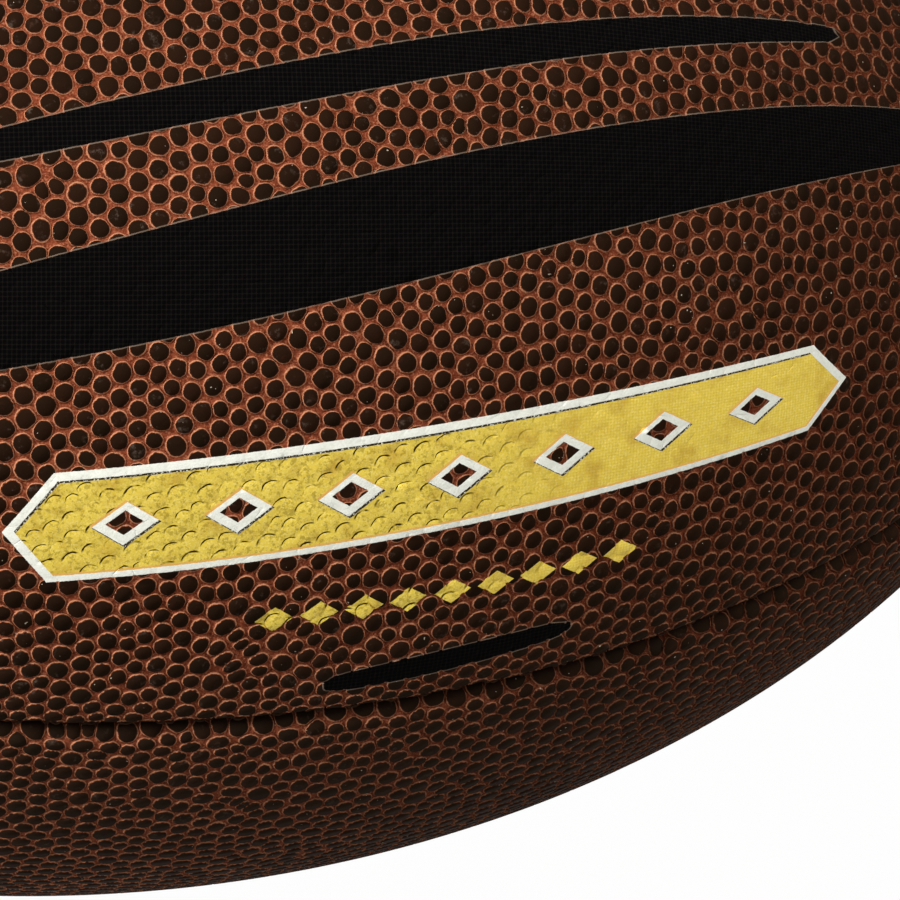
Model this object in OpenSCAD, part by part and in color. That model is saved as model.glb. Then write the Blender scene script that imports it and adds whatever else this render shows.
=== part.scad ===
// American football: a pointed ball of four sewn cover panels over linings and a bladder,
// closed along its top seam by a lace, with an inflation valve in a lower panel.
// The long axis is X, the laced seam faces +Z, and the origin is the centre of the ball.

/* [Ball] */
// Length of the cover from tip to tip
ball_l = 285; // [270:1:300]
// Diameter of the cover round its middle
ball_d = 171.2; // [162:0.2:178]
// Power of the outline: a half is a plain oval, more gives finer tips
tip_power = 0.6; // [0.56:0.01:0.66]

/* [Cover] */
// Thickness of a cover panel
cover_t = 2.2; // [1.8:0.1:2.6]
// Radius over which a panel's edge turns down into the seam
roll_r = 2.8; // [2.7:0.1:3.6]
// Depth of the turned-in lip below the cover's surface
lip_depth = 3.5; // [3.2:0.1:3.7]
// Gap between the lips of two panels
seam_gap = 0.2; // [0.1:0.05:0.4]
// Radius of the ball at which the lips start to be trimmed towards the tips
trim_r = 14; // [11:1:20]

/* [Layers] */
// Gap between neighbouring layers inside the cover
layer_gap = 0.3; // [0.3:0.05:0.5]
// Thickness of the cloth lining behind a panel
lining_t = 1.1; // [0.8:0.1:1.5]
// Radius of the ball at which the linings stop short of the tips
lining_end_r = 26; // [22:1:34]
// Thickness of the bladder's wall
bladder_t = 1; // [0.7:0.1:1.5]

/* [Stitching] */
// Distance from one stitch of a seam to the next
stitch_pitch = 4.9; // [4.2:0.1:7]
// Length of thread that shows in one stitch
stitch_l = 3.4; // [2.4:0.1:3.8]
// Diameter of the seam thread
thread_d = 0.7; // [0.5:0.05:0.9]
// Clearance between the seam thread and the rolled edges
thread_fit = 0.1; // [0.05:0.05:0.2]

/* [Lacing] */
// Number of times that the lace crosses the seam
crosses = 8; // [5:1:9]
// Distance from one crossing to the next
cross_pitch = 13.5; // [11:0.5:15]
// Distance between the two rows of lace holes, measured round the ball
row_gap = 25; // [22:0.5:30]
// Distance from the last crossing to the hole where the long run goes in
end_run = 8; // [7:0.5:10]
// Diameter of a lace hole
lace_hole_d = 3.8; // [3.6:0.1:4.4]
// Width of the lace where it lies flat
lace_w = 5.2; // [4:0.1:6]
// Thickness of the lace where it lies flat
lace_t = 1.5; // [1.3:0.1:1.6]
// Gap left between the lace and what it lies on
lace_gap = 0.2; // [0.15:0.05:0.3]
// Width of the facing strip under each row of holes
facing_w = 12; // [10:0.5:14]
// Thickness of a facing strip
facing_t = 1.1; // [0.8:0.1:1.5]
// How far the tongue reaches past the facing strips
tongue_margin = 1.5; // [1:0.5:4]
// Thickness of the tongue
tongue_t = 1.2; // [0.8:0.1:2]

/* [Valve] */
// Angle round the ball from the bottom seam to the valve
valve_turn = 20; // [16:1:30]
// Diameter of the needle's passage
needle_d = 2.1; // [1.9:0.1:2.4]
// Depth of the needle's passage
needle_depth = 12; // [10:0.5:14]
// Diameter of the valve's mouth
mouth_d = 3.4; // [3:0.1:4]
// Diameter of the soft core
core_d = 5; // [4.6:0.1:5.4]
// Diameter of the stem that shows in the cover
stem_d = 7.4; // [7:0.1:8]
// Diameter of the barrel inside the bladder
barrel_d = 9; // [8:0.1:11]
// Length of the valve below the cover's surface
valve_l = 19; // [17:0.5:24]
// Depth of the stem's end below the cover's surface
valve_sink = 0.5; // [0.3:0.1:1]
// Diameter of the valve's flange on the bladder
flange_d = 24; // [20:1:28]
// Thickness of the flange
flange_t = 1.4; // [1:0.1:2]
// Diameter of the cloth patch round the stem
patch_d = 30; // [26:1:34]
// Thickness of the cloth patch
patch_t = 0.8; // [0.6:0.1:1.2]
// Clearance round the stem and the core
valve_fit = 0.1; // [0.05:0.05:0.2]

/* [Hidden] */
$fn = 72;

half_l = ball_l / 2;
half_d = ball_d / 2;
quarter = 90;
// Steps along a panel, round its face and round one rolled edge
steps_along = 32;
steps_round = 12;
steps_roll = 3;
// Widest angle of a panel's stations, where the four points almost meet
end_turn = 87.6;
// Step of the turned outlines
outline_turn = 5;
// Sides of the lace's section and of the seam thread
lace_sides = 8;
thread_sides = 16;
// Overrun of every cut
overrun = 5;

// Depths of the layers below the cover's surface, from the outside in
lining_top = cover_t + layer_gap;
lining_low = lining_top + lining_t;
inner_top = lining_low + layer_gap;
facing_low = inner_top + facing_t;
lace_low_mid = facing_low + layer_gap + lace_t / 2;
tongue_top = facing_low + layer_gap + lace_t + layer_gap;
tongue_low = tongue_top + tongue_t;
lace_pocket = tongue_low + layer_gap;
flange_top = inner_top + patch_t + layer_gap;
flange_low = flange_top + flange_t;
valve_pocket = flange_low + layer_gap;

// Places along and across the lacing
row_y = row_gap / 2;
cross_end = (crosses - 1) / 2 * cross_pitch;
run_end = cross_end + end_run;
tail_end = run_end + end_run;
slit_end = run_end + lace_hole_d;
facing_l = 2 * run_end;
tongue_w = row_gap + facing_w + 2 * tongue_margin;
tongue_l = 2 * tail_end + lace_w;

// Heights of the lace's middle line above the cover's surface
run_h = lace_gap + lace_t / 2;
side_h = lace_gap + lace_t / 2;
cross_h = run_h + lace_t + lace_gap;
hole_lace_r = lace_hole_d / 2 - lace_gap;

// Outline of the ball

// Outline point at station t, moved h outwards along the normal
function turn_slope(t) = [
    2 * tip_power * half_d * sin(t),
    half_l * pow(cos(t), 2 - 2 * tip_power)
];
function unit(v) = v / norm(v);
function normal(t) = unit(turn_slope(t));
function base_r(t) = half_d * pow(cos(t), 2 * tip_power);
function skin(t, h) = [half_l * sin(t), base_r(t)] + h * normal(t);
function station(x) = asin(x / half_l);
function tilt(t) = atan2(normal(t)[0], normal(t)[1]);
// Station at which the ball has radius r
function station_of_r(r) = acos(pow(r / half_d, 1 / (2 * tip_power)));
// Share of an edge's full size that is left at station t
function trim(t) = min(1, base_r(t) / trim_r);
// Millimetres of seam for one degree of station
function seam_rate(t) = norm([
    half_l * cos(t),
    2 * tip_power * half_d * pow(cos(t), 2 * tip_power - 1) * sin(t)
]) * PI / 180;

// Point of space at x along the ball, y round it from the top seam, h above the cover
function on_ball(x, y, h) = let (
    t = station(x),
    p = skin(t, h),
    a = y / base_r(t) * 180 / PI
) [p[0], p[1] * sin(a), p[1] * cos(a)];

// Solid of the ball's outline moved h outwards
module turned(h) {
    outline = [
        for (t = [-90:outline_turn:90])
            let (p = skin(t, h)) [max(0, p[1]), p[0]]
    ];
    rotate([0, 90, 0])
        rotate_extrude()
            polygon(outline);
}

// Layer between two depths below the cover's surface
module layer(top, low) {
    difference() {
        turned(-top);
        turned(-low);
    }
}

// Places its children on the cover, with +Z outwards, at x and at an angle from the top seam
module on_cover(x, a) {
    t = station(x);
    rotate([-a, 0, 0])
        translate([skin(t, 0)[0], 0, skin(t, 0)[1]])
            rotate([0, tilt(t), 0])
                children();
}

// Joins rings of equal length into a solid. Each ring runs forwards along one side and back
// along the other, so that its ends close as a strip.
module loft(rings) {
    n = len(rings[0]);
    m = n / 2;
    last = (len(rings) - 1) * n;
    points = [for (r = rings) for (p = r) p];
    sides = [
        for (i = [0:len(rings) - 2])
            for (j = [0:n - 1])
                let (a = i * n + j, b = i * n + (j + 1) % n)
                    each [[a, b + n, b], [a, a + n, b + n]]
    ];
    ends = [
        for (j = [0:m - 2])
            let (k = n - 1 - j)
                each [
                    [j, k - 1, k], [j, j + 1, k - 1],
                    [last + j, last + k, last + k - 1], [last + j, last + k - 1, last + j + 1]
                ]
    ];
    polyhedron(points = points, faces = concat(sides, ends), convexity = 8);
}

// Stadium seen from above, wide along X
module stadium(l, w) {
    square([l - w, w], center = true);
    for (side = [-1, 1])
        translate([side * (l - w) / 2, 0])
            circle(d = w);
}

// Cover panels

// Point of a panel's section: s from the seam plane at angle 0, d below the cover's surface
function edge_point(t, s, d) = let (p = skin(t, -d)) [p[0], p[1], asin(s / p[1])];
// The rolled edge at station t, a quarter turn of radius r from the lip up to the face, which
// is depth below the cover's surface
function roll(t, r, depth) = [
    for (i = [0:steps_roll])
        let (a = quarter * i / steps_roll, c = seam_gap / 2 * trim(t) + roll_r * trim(t))
            edge_point(t, c - r * cos(a), depth + r - r * sin(a))
];
function face_row(edge) = let (from = edge[steps_roll]) [
    for (i = [1:steps_round - 1])
        [from[0], from[1], from[2] + (quarter - 2 * from[2]) * i / steps_round]
];
function flipped(edge) = [
    for (i = [len(edge) - 1:-1:0])
        [edge[i][0], edge[i][1], quarter - edge[i][2]]
];
function reversed(list) = [for (i = [len(list) - 1:-1:0]) list[i]];
function to_space(p) = [p[0], p[1] * cos(p[2]), p[1] * sin(p[2])];

// One ring of a panel: along the outside from lip to lip, and back along the inside
function panel_ring(t) = let (
    e = trim(t),
    low = cover_t + (lip_depth - cover_t) * e,
    half_gap = seam_gap / 2 * e,
    out_roll = roll(t, roll_r * e, 0),
    in_roll = roll(t, (roll_r - cover_t) * e, cover_t),
    outside = concat([edge_point(t, half_gap, low)], out_roll),
    inside = concat([edge_point(t, half_gap + cover_t * e, low)], in_roll),
    forwards = concat(outside, face_row(out_roll), flipped(outside)),
    backwards = concat(inside, face_row(in_roll), flipped(inside))
) [for (p = concat(forwards, reversed(backwards))) to_space(p)];

// A panel between the seams at +Y and +Z, turned by quarters round the ball
module panel(quarters) {
    rotate([quarter * quarters, 0, 0])
        loft([
            for (i = [0:steps_along])
                panel_ring(-end_turn + 2 * end_turn * i / steps_along)
        ]);
}

// Drills for the lace through every layer: both rows, and the two holes on the seam
module lace_drills() {
    for (i = [0:crosses - 1])
        for (side = [-1, 1]) {
            x = -cross_end + i * cross_pitch;
            on_cover(x, side * row_y / base_r(station(x)) * 180 / PI)
                drill(lace_hole_d, facing_low);
        }
    for (side = [-1, 1])
        on_cover(side * run_end, 0)
            drill(lace_hole_d, facing_low);
}

module drill(d, depth) {
    translate([0, 0, -depth - overrun])
        cylinder(h = depth + 2 * overrun, d = d);
}

module valve_place() {
    on_cover(0, 180 - valve_turn)
        children();
}

module cover_color() {
    color("#4a2c1d")
        children();
}

module panel_top_back() {
    cover_color()
        difference() {
            panel(0);
            lace_drills();
        }
}

module panel_top_front() {
    cover_color()
        difference() {
            panel(1);
            lace_drills();
        }
}

module panel_bottom_front() {
    cover_color()
        panel(2);
}

module panel_bottom_back() {
    cover_color()
        difference() {
            panel(3);
            valve_place()
                drill(stem_d + 2 * valve_fit, lip_depth);
        }
}

// Linings

// Cloth behind the panel between +Y and +Z, turned by quarters, clear of the lips
module lining(quarters) {
    edge = seam_gap / 2 + cover_t + layer_gap;
    end_x = half_l * sin(station_of_r(lining_end_r));
    rotate([quarter * quarters, 0, 0])
        intersection() {
            layer(lining_top, lining_low);
            translate([-end_x, edge, edge])
                cube([2 * end_x, half_d, half_d]);
        }
}

module lining_color() {
    color("#cdbf9f")
        children();
}

module lining_top_back() {
    lining_color()
        difference() {
            lining(0);
            lace_drills();
        }
}

module lining_top_front() {
    lining_color()
        difference() {
            lining(1);
            lace_drills();
        }
}

module lining_bottom_front() {
    lining_color()
        lining(2);
}

module lining_bottom_back() {
    lining_color()
        difference() {
            lining(3);
            valve_place()
                drill(stem_d + 2 * valve_fit, lip_depth);
        }
}

// Bladder and valve

// Bladder's outer form at a depth, hollowed where the tongue and the valve's flange lie
module bladder_form(wall) {
    difference() {
        turned(-inner_top - wall);
        difference() {
            linear_extrude(height = half_d)
                stadium(
                    tongue_l + 2 * layer_gap + 2 * wall,
                    tongue_w + 2 * layer_gap + 2 * wall
                );
            turned(-lace_pocket - wall);
        }
        difference() {
            valve_place()
                drill(patch_d + 2 * layer_gap + 2 * wall, valve_pocket);
            turned(-valve_pocket - wall);
        }
    }
}

module bladder() {
    color("#2a2a2c")
        difference() {
            bladder_form(0);
            bladder_form(bladder_t);
            valve_place()
                drill(barrel_d + 2 * valve_fit, valve_l);
        }
}

// Part of a layer inside a round of diameter d about the valve
module valve_disc(top, low, d) {
    intersection() {
        layer(top, low);
        valve_place()
            drill(d, low);
    }
}

module valve_body() {
    color("#1d1d1f")
        difference() {
            union() {
                valve_disc(flange_top, flange_low, flange_d);
                valve_place()
                    translate([0, 0, -flange_low])
                        cylinder(h = flange_low - valve_sink, d = stem_d);
                valve_place()
                    translate([0, 0, -valve_l])
                        cylinder(h = valve_l - (flange_top + flange_low) / 2, d = barrel_d);
            }
            valve_place()
                translate([0, 0, -valve_l + flange_t])
                    cylinder(h = valve_l + overrun, d = core_d + 2 * valve_fit);
        }
}

module valve_core() {
    top = -valve_sink - valve_fit;
    low = -valve_l + flange_t + valve_fit;
    mouth_h = (mouth_d - needle_d) / 2;
    color("#8c3a2a")
        valve_place()
            difference() {
                translate([0, 0, low])
                    cylinder(h = top - low, d = core_d);
                translate([0, 0, top - needle_depth])
                    cylinder(h = needle_depth + overrun, d = needle_d);
                translate([0, 0, top - mouth_h])
                    cylinder(h = mouth_h + valve_fit, d1 = needle_d, d2 = mouth_d + 2 * valve_fit);
            }
}

module valve_patch() {
    color("#b9ad93")
        difference() {
            valve_disc(inner_top, inner_top + patch_t, patch_d);
            valve_place()
                drill(stem_d + 2 * valve_fit, patch_t);
        }
}

// Lacing

// Facing strip under the row of holes on one side of the top seam
module facing(side) {
    difference() {
        intersection() {
            layer(inner_top, facing_low);
            translate([0, side * row_y, 0])
                linear_extrude(height = half_d)
                    stadium(facing_l + facing_w / 2, facing_w);
        }
        lace_drills();
    }
}

module lace_facing_front() {
    color("#d9d2c3")
        facing(-1);
}

module lace_facing_back() {
    color("#d9d2c3")
        facing(1);
}

module lace_tongue() {
    color("#55504a")
        intersection() {
            layer(tongue_top, tongue_low);
            linear_extrude(height = half_d)
                stadium(tongue_l, tongue_w);
        }
}

// The lace's route. Each stop is x, y round the ball, height, half width, half thickness and
// the direction of its width.
along = [1, 0, 0];
across = [0, 1, 0];
half_w = lace_w / 2;
half_t = lace_t / 2;
turn_low = -lace_low_mid;
// Places of a crossing's stops as shares of half the row gap: turned over out of its hole,
// lying down, about to climb, climbing, and lying on the long run
over_shares = [0.94, 0.8, 0.52, 0.3, 0.14];
// Place where the lace lies flat again under the facings, as a share of half the row gap
under_share = 0.8;
// Place where the lace's first tail ends, as a share of half the row gap
tail_share = 0.4;
// Half thickness of the lace where it turns, as a share of its radius in the hole
turn_share = 0.7;
// Height of the turn over the hole's edge, as a share of the height of the flat lace
rise_share = 1.15;
// How far the climbing lace bows up, as a share of its half thickness
bow_share = 0.25;
// Width of the lace where it begins to lie flat, as a share of its full width
spread_share = 0.85;

// From the inside up through the hole on one side and over to the seam
function climb(x, side) = let (y = side * row_y, turn_t = hole_lace_r * turn_share) [
    [x - side * (1 - under_share) / 2 * cross_pitch, y * under_share, -lace_low_mid,
        half_w * spread_share, half_t, along],
    [x, y, turn_low, hole_lace_r, turn_t, along],
    [x, y, -facing_low + half_t, hole_lace_r, hole_lace_r, along],
    [x, y, -half_t, hole_lace_r, hole_lace_r, along],
    [x, y * over_shares[0], side_h * rise_share, hole_lace_r, turn_t, along],
    [x, y * over_shares[1], side_h, half_w * spread_share, half_t, along],
    [x, y * over_shares[2], side_h, half_w, half_t, along],
    [x, y * over_shares[3], (side_h + cross_h) / 2 + half_t * bow_share, half_w, half_t, along],
    [x, y * over_shares[4], cross_h, half_w, half_t, along]
];

// Half way below the seam to the next crossing
function under(x) = [[x + cross_pitch / 2, 0, -lace_low_mid, half_w * spread_share, half_t, along]];

// From the long run down through the hole on the seam at one end, and on inside
function dive(side) = [
    [side * (run_end - hole_lace_r), 0, side_h * rise_share, hole_lace_r, hole_lace_r * turn_share, across],
    [side * run_end, 0, -half_t, hole_lace_r, hole_lace_r, across],
    [side * run_end, 0, -facing_low + half_t, hole_lace_r, hole_lace_r, across],
    [side * run_end, 0, turn_low, hole_lace_r, hole_lace_r * turn_share, across]
];
function stop_point(s) = on_ball(s[0], s[1], s[2]);

lace_route = concat(
    [[-cross_end - (1 - tail_share) / 2 * cross_pitch, row_y * tail_share, -lace_low_mid,
        half_w * spread_share, half_t, along]],
    [
        for (i = [0:crosses - 1])
            let (x = -cross_end + i * cross_pitch)
                each concat(climb(x, 1), reversed(climb(x, -1)), i == crosses - 1 ? [] : under(x))
    ],
    [[(cross_end + run_end) / 2, -row_y / 2, -lace_low_mid, half_w * spread_share, half_t, across]],
    reversed(dive(1)),
    [
        for (i = [0:crosses])
            [cross_end - (i - 0.5) * cross_pitch, 0, run_h, half_w, half_t, across]
    ],
    dive(-1),
    [
        [-(run_end + tail_end) / 2, 0, -lace_low_mid, half_w * spread_share, half_t, across],
        [-tail_end, 0, -lace_low_mid, half_w, half_t, across]
    ]
);

function lace_ring(i) = let (
    n = len(lace_route),
    stop = lace_route[i],
    p = stop_point(stop),
    before = stop_point(lace_route[max(0, i - 1)]),
    after = stop_point(lace_route[min(n - 1, i + 1)]),
    way = unit(after - before),
    wide = unit(stop[5] - way * (way * stop[5])),
    deep = cross(way, wide)
) [
    for (k = [0:lace_sides - 1])
        let (a = 360 * (k + 0.5) / lace_sides)
            p + wide * stop[3] * cos(a) / cos(180 / lace_sides)
              + deep * stop[4] * sin(a) / cos(180 / lace_sides)
];

module lace() {
    color("#ece7dc")
        loft([for (i = [0:len(lace_route) - 1]) lace_ring(i)]);
}

// Seam stitching

// Depth at which the thread rests on both rolled edges
thread_depth = roll_r - sqrt(
    pow(roll_r + thread_d / 2 + thread_fit, 2) - pow(roll_r + seam_gap / 2, 2)
);
thread_end = station_of_r(trim_r);

// Stations of the stitches from one station up to another
function stitch_stations(t, to) = t > to
    ? []
    : concat([t], stitch_stations(t + stitch_pitch / seam_rate(t), to));

// One row of stitches lying along a seam, from one station to another
module stitches(from, to, a) {
    rotate([-a, 0, 0])
        for (t = stitch_stations(from, to)) {
            p = skin(t, -thread_depth);
            translate([p[0], 0, p[1]])
                rotate([0, 90 + tilt(t), 0])
                    cylinder(h = stitch_l, d = thread_d, center = true, $fn = thread_sides);
        }
}

module thread_color() {
    color("#a5713f")
        children();
}

module seam_thread_top() {
    thread_color() {
        stitches(-thread_end, -station(slit_end), 0);
        mirror([1, 0, 0])
            stitches(-thread_end, -station(slit_end), 0);
    }
}

module seam_thread_front() {
    thread_color()
        stitches(-thread_end, thread_end, -quarter);
}

module seam_thread_bottom() {
    thread_color()
        stitches(-thread_end, thread_end, 2 * quarter);
}

module seam_thread_back() {
    thread_color()
        stitches(-thread_end, thread_end, quarter);
}

panel_top_back();
panel_top_front();
panel_bottom_front();
panel_bottom_back();
lining_top_back();
lining_top_front();
lining_bottom_front();
lining_bottom_back();
bladder();
valve_body();
valve_core();
valve_patch();
lace_facing_front();
lace_facing_back();
lace_tongue();
lace();
seam_thread_top();
seam_thread_front();
seam_thread_bottom();
seam_thread_back();
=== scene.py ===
"""Looks of an american football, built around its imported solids: pebbled cover panels, sewn
seams, a lace, a valve and the layers inside, on a pale floor."""

import sys
import logging
import math
from dataclasses import dataclass, field
from enum import Enum

import bpy
import numpy as np
from mathutils import Matrix, Vector
from mathutils.geometry import delaunay_2d_cdt


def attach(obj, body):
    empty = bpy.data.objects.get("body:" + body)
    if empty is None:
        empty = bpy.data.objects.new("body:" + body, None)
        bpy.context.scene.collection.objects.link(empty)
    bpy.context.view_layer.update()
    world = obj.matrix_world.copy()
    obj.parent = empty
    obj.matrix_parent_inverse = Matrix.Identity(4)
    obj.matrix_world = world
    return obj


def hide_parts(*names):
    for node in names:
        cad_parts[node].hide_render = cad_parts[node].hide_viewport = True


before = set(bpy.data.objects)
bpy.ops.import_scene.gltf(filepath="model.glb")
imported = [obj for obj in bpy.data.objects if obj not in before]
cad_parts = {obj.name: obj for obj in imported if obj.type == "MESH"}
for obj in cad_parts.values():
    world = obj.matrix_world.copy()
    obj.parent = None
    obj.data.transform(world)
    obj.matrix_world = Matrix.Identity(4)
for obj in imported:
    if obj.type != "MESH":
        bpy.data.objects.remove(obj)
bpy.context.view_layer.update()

MM = 0.001
TURN = 2 * math.pi
QUARTER = math.pi / 2
BODY = "root"
WHITE = (1, 1, 1, 1)
LOG = logging.getLogger("football")

Array = np.ndarray
Piece = bpy.types.Object
Tree = bpy.types.NodeTree
Socket = bpy.types.NodeSocket
# What a node's input takes: a socket, a number, a vector or colour, or a colour's hex code
Value = Socket | float | tuple | str
# A finish's shader inputs by name, its relief's height, and that relief's depth in metres
Parts = tuple[dict[str, Value], Socket, float]


class Seam(Enum):
    """The four seams, each by its angle round the ball from the top seam towards +Y."""

    TOP = 0
    BACK = 1
    BOTTOM = 2
    FRONT = 3

    @property
    def turn(self) -> float:
        """The seam's angle, in radians."""
        return self.value * QUARTER


class Quarter(Enum):
    """The four cover panels, each by the seam at its lower angle and the one at its upper."""

    TOP_BACK = (Seam.TOP, Seam.BACK)
    BOTTOM_BACK = (Seam.BACK, Seam.BOTTOM)
    BOTTOM_FRONT = (Seam.BOTTOM, Seam.FRONT)
    TOP_FRONT = (Seam.FRONT, Seam.TOP)

    @property
    def middle(self) -> float:
        """Angle of the panel's middle line, in radians."""
        return self.value[0].turn + QUARTER / 2


# Forms


@dataclass(frozen=True)
class BallForm:
    """Outline of the ball, the same as its solids'.

    Its points are named by a station, the angle t whose sine is the share of the half length,
    and a turn round the long axis from the top seam towards +Y.
    """

    half_l: float = 142.5 * MM
    half_d: float = 85.6 * MM
    tip_power: float = 0.6
    table_end: float = math.radians(89.6)
    table_steps: int = 8001

    def radius(self, t: Array) -> Array:
        """Radius of the ball at stations t."""
        return self.half_d * np.cos(t) ** (2 * self.tip_power)

    def normal(self, t: Array) -> tuple[Array, Array]:
        """The outward normal's parts along the ball and away from its axis."""
        along = 2 * self.tip_power * self.half_d * np.sin(t)
        out = self.half_l * np.cos(t) ** (2 - 2 * self.tip_power)
        size = np.hypot(along, out)
        return along / size, out / size

    def skin(self, t: Array, h: Array) -> tuple[Array, Array]:
        """Place along the ball and distance from its axis, h above the cover."""
        along, out = self.normal(t)
        return self.half_l * np.sin(t) + h * along, self.radius(t) + h * out

    def place(self, t: Array, turn: Array, h: Array) -> Array:
        """Points of space at stations, turns and heights above the cover."""
        x, r = self.skin(t, h)
        return np.stack([x, r * np.sin(turn), r * np.cos(turn)], -1)

    def station(self, x: float) -> float:
        """Station of a place x along the ball."""
        return math.asin(x / self.half_l)

    def station_of_radius(self, r: float) -> float:
        """Station on the +X side at which the ball has radius r."""
        return math.acos((r / self.half_d) ** (1 / (2 * self.tip_power)))

    def tables(self) -> tuple[Array, Array, Array]:
        """Stations with their arc length from the middle and their place u on the plane.

        Returns:
            Stations, arc lengths, and the sums of arc length over radius, which turn the
            cover into a plane without distorting small shapes.
        """
        t = np.linspace(-self.table_end, self.table_end, self.table_steps)
        x, r = self.half_l * np.sin(t), self.radius(t)
        step = np.hypot(np.diff(x), np.diff(r))
        arc = np.concatenate([[0], np.cumsum(step)])
        flat = np.concatenate([[0], np.cumsum(step / ((r[1:] + r[:-1]) / 2))])
        return t, arc - arc[-1] / 2, flat - flat[-1] / 2


@dataclass(frozen=True)
class EdgeForm:
    """Sizes of a cover panel's rolled edge and lip, and of the stitches that close a seam."""

    cover_t: float = 2.2 * MM
    roll_r: float = 2.8 * MM
    lip_depth: float = 3.5 * MM
    seam_gap: float = 0.2 * MM
    trim_r: float = 14 * MM
    stitch_pitch: float = 4.9 * MM
    stitch_l: float = 3.4 * MM
    thread_d: float = 0.7 * MM
    thread_clear: float = 0.1 * MM
    # How far a stitch pulls the leather in, how far along it, and how far from the seam
    pull: float = 0.34 * MM
    pull_along: float = 1.0 * MM
    pull_across: float = 2.4 * MM
    # Wander of the crease from side to side, and how far from it that reaches
    wander: float = 0.16 * MM
    wander_reach: float = 5 * MM
    # Lengths of the waves in which it wanders, in millimetres, and the weakest one's strength
    waves: tuple[float, ...] = (61, 37, 23, 11.5, 7.3, 4.9)
    weakest: float = 0.35
    wave_seed: int = 40

    @property
    def thread_depth(self) -> float:
        """Depth at which the thread rests on both rolled edges."""
        reach = self.roll_r + self.thread_d / 2 + self.thread_clear
        return self.roll_r - math.sqrt(reach**2 - (self.roll_r + self.seam_gap / 2) ** 2)


@dataclass(frozen=True)
class LacingForm:
    """Places and sizes of the lace and its holes."""

    crosses: int = 8
    cross_pitch: float = 13.5 * MM
    row_gap: float = 25 * MM
    end_run: float = 8 * MM
    hole_d: float = 3.8 * MM
    lace_w: float = 5.2 * MM
    lace_t: float = 1.5 * MM
    gap: float = 0.2 * MM
    # Depth of the lace's middle line where it runs below the facings
    low: float = 6.05 * MM
    facing_low: float = 5 * MM
    # How far from a hole on the seam the leather gives way, in the hole's radii
    give: float = 3

    @property
    def cross_end(self) -> float:
        """Place of the last crossing along the ball."""
        return (self.crosses - 1) / 2 * self.cross_pitch

    @property
    def run_end(self) -> float:
        """Place of the hole where the long run goes in."""
        return self.cross_end + self.end_run

    @property
    def slit_end(self) -> float:
        """Place along the ball up to which the top seam is laced and not sewn."""
        return self.run_end + self.hole_d


BALL = BallForm()
EDGE = EdgeForm()
LACING = LacingForm()
STATIONS, ARCS, FLATS = BALL.tables()


def arc_of(t: Array) -> Array:
    """Arc length from the ball's middle to stations t."""
    return np.interp(t, STATIONS, ARCS)


def flat_of(t: Array) -> Array:
    """Place on the plane of stations t."""
    return np.interp(t, STATIONS, FLATS)


def station_at_arc(arc: Array) -> Array:
    """Stations at arc lengths from the ball's middle."""
    return np.interp(arc, ARCS, STATIONS)


def station_at_flat(u: Array) -> Array:
    """Stations at places on the plane."""
    return np.interp(u, FLATS, STATIONS)


def radius_at_flat(u: Array) -> Array:
    """Radius of the ball at places on the plane."""
    return BALL.radius(station_at_flat(u))


def even_turns(count: int, shift: float = 0.0) -> Array:
    """Angles of even steps round a circle, the first one a shift of so many steps on."""
    return (np.arange(count) + shift) / count * TURN


def ways(angle: Array) -> Array:
    """Directions on the plane at angles."""
    return np.stack([np.cos(angle), np.sin(angle)], -1)


def turn_from(a: Array, b: Array) -> Array:
    """Twice the area between arrows a and b on the plane, above zero where b is to the left."""
    return a[:, 0] * b[:, 1] - a[:, 1] * b[:, 0]


def triangle_edges(tris: Array) -> Array:
    """First, second and third edges of the triangles, each by its two points."""
    return np.stack([tris[:, [i, (i + 1) % 3]] for i in range(3)])


def edge_codes(edges: Array, size: int) -> Array:
    """One number for each edge between size points, another one for the edge turned round."""
    return edges[..., 0].astype(np.int64) * size + edges[..., 1]


def next_rows(group: Array) -> Array:
    """The row after each row within its group, the first one after the last."""
    last = np.r_[group[1:] != group[:-1], True]
    begin = np.r_[0, np.flatnonzero(last)[:-1] + 1]
    after = np.arange(len(group)) + 1
    after[last] = begin
    return after


class SeamLine:
    """One seam: where its stitches are, how it wanders, and how the stitches pull it in."""

    def __init__(self, seam: Seam) -> None:
        end = BALL.station_of_radius(EDGE.trim_r)
        if seam is Seam.TOP:
            half = self._stitches(-end, -BALL.station(LACING.slit_end))
            self.stations = np.concatenate([half, -half[::-1]])
        else:
            self.stations = self._stitches(-end, end)
        self.arcs = arc_of(self.stations)
        draw = np.random.default_rng(EDGE.wave_seed + seam.value)
        self.waves = draw.uniform(EDGE.weakest, 1, len(EDGE.waves))
        self.lengths = np.array(EDGE.waves) * MM
        self.starts = draw.uniform(0, TURN, len(EDGE.waves))

    @staticmethod
    def _stitches(t: float, to: float) -> Array:
        """Stations of the stitches from one station to another, spaced as the solids' are."""
        found = []
        while t <= to:
            found.append(t)
            power = 2 * BALL.tip_power
            rate = math.hypot(
                BALL.half_l * math.cos(t),
                power * BALL.half_d * math.cos(t) ** (power - 1) * math.sin(t),
            )
            t += EDGE.stitch_pitch / rate
        return np.array(found)

    def wander(self, arc: Array) -> Array:
        """Sideways shift of the crease at places along the seam."""
        waves = np.sin(arc[..., None] / self.lengths * TURN + self.starts) * self.waves
        return EDGE.wander * waves.sum(-1) / math.sqrt(len(self.waves))

    def pull(self, arc: Array) -> Array:
        """Pull of the nearest stitch, from 0 to 1, at places along the seam."""
        at = np.searchsorted(self.arcs, arc).clip(1, len(self.arcs) - 1)
        gap = np.minimum(np.abs(arc - self.arcs[at - 1]), np.abs(arc - self.arcs[at]))
        return np.exp(-((gap / EDGE.pull_along) ** 2))


SEAMS = {seam: SeamLine(seam) for seam in Seam}


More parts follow.
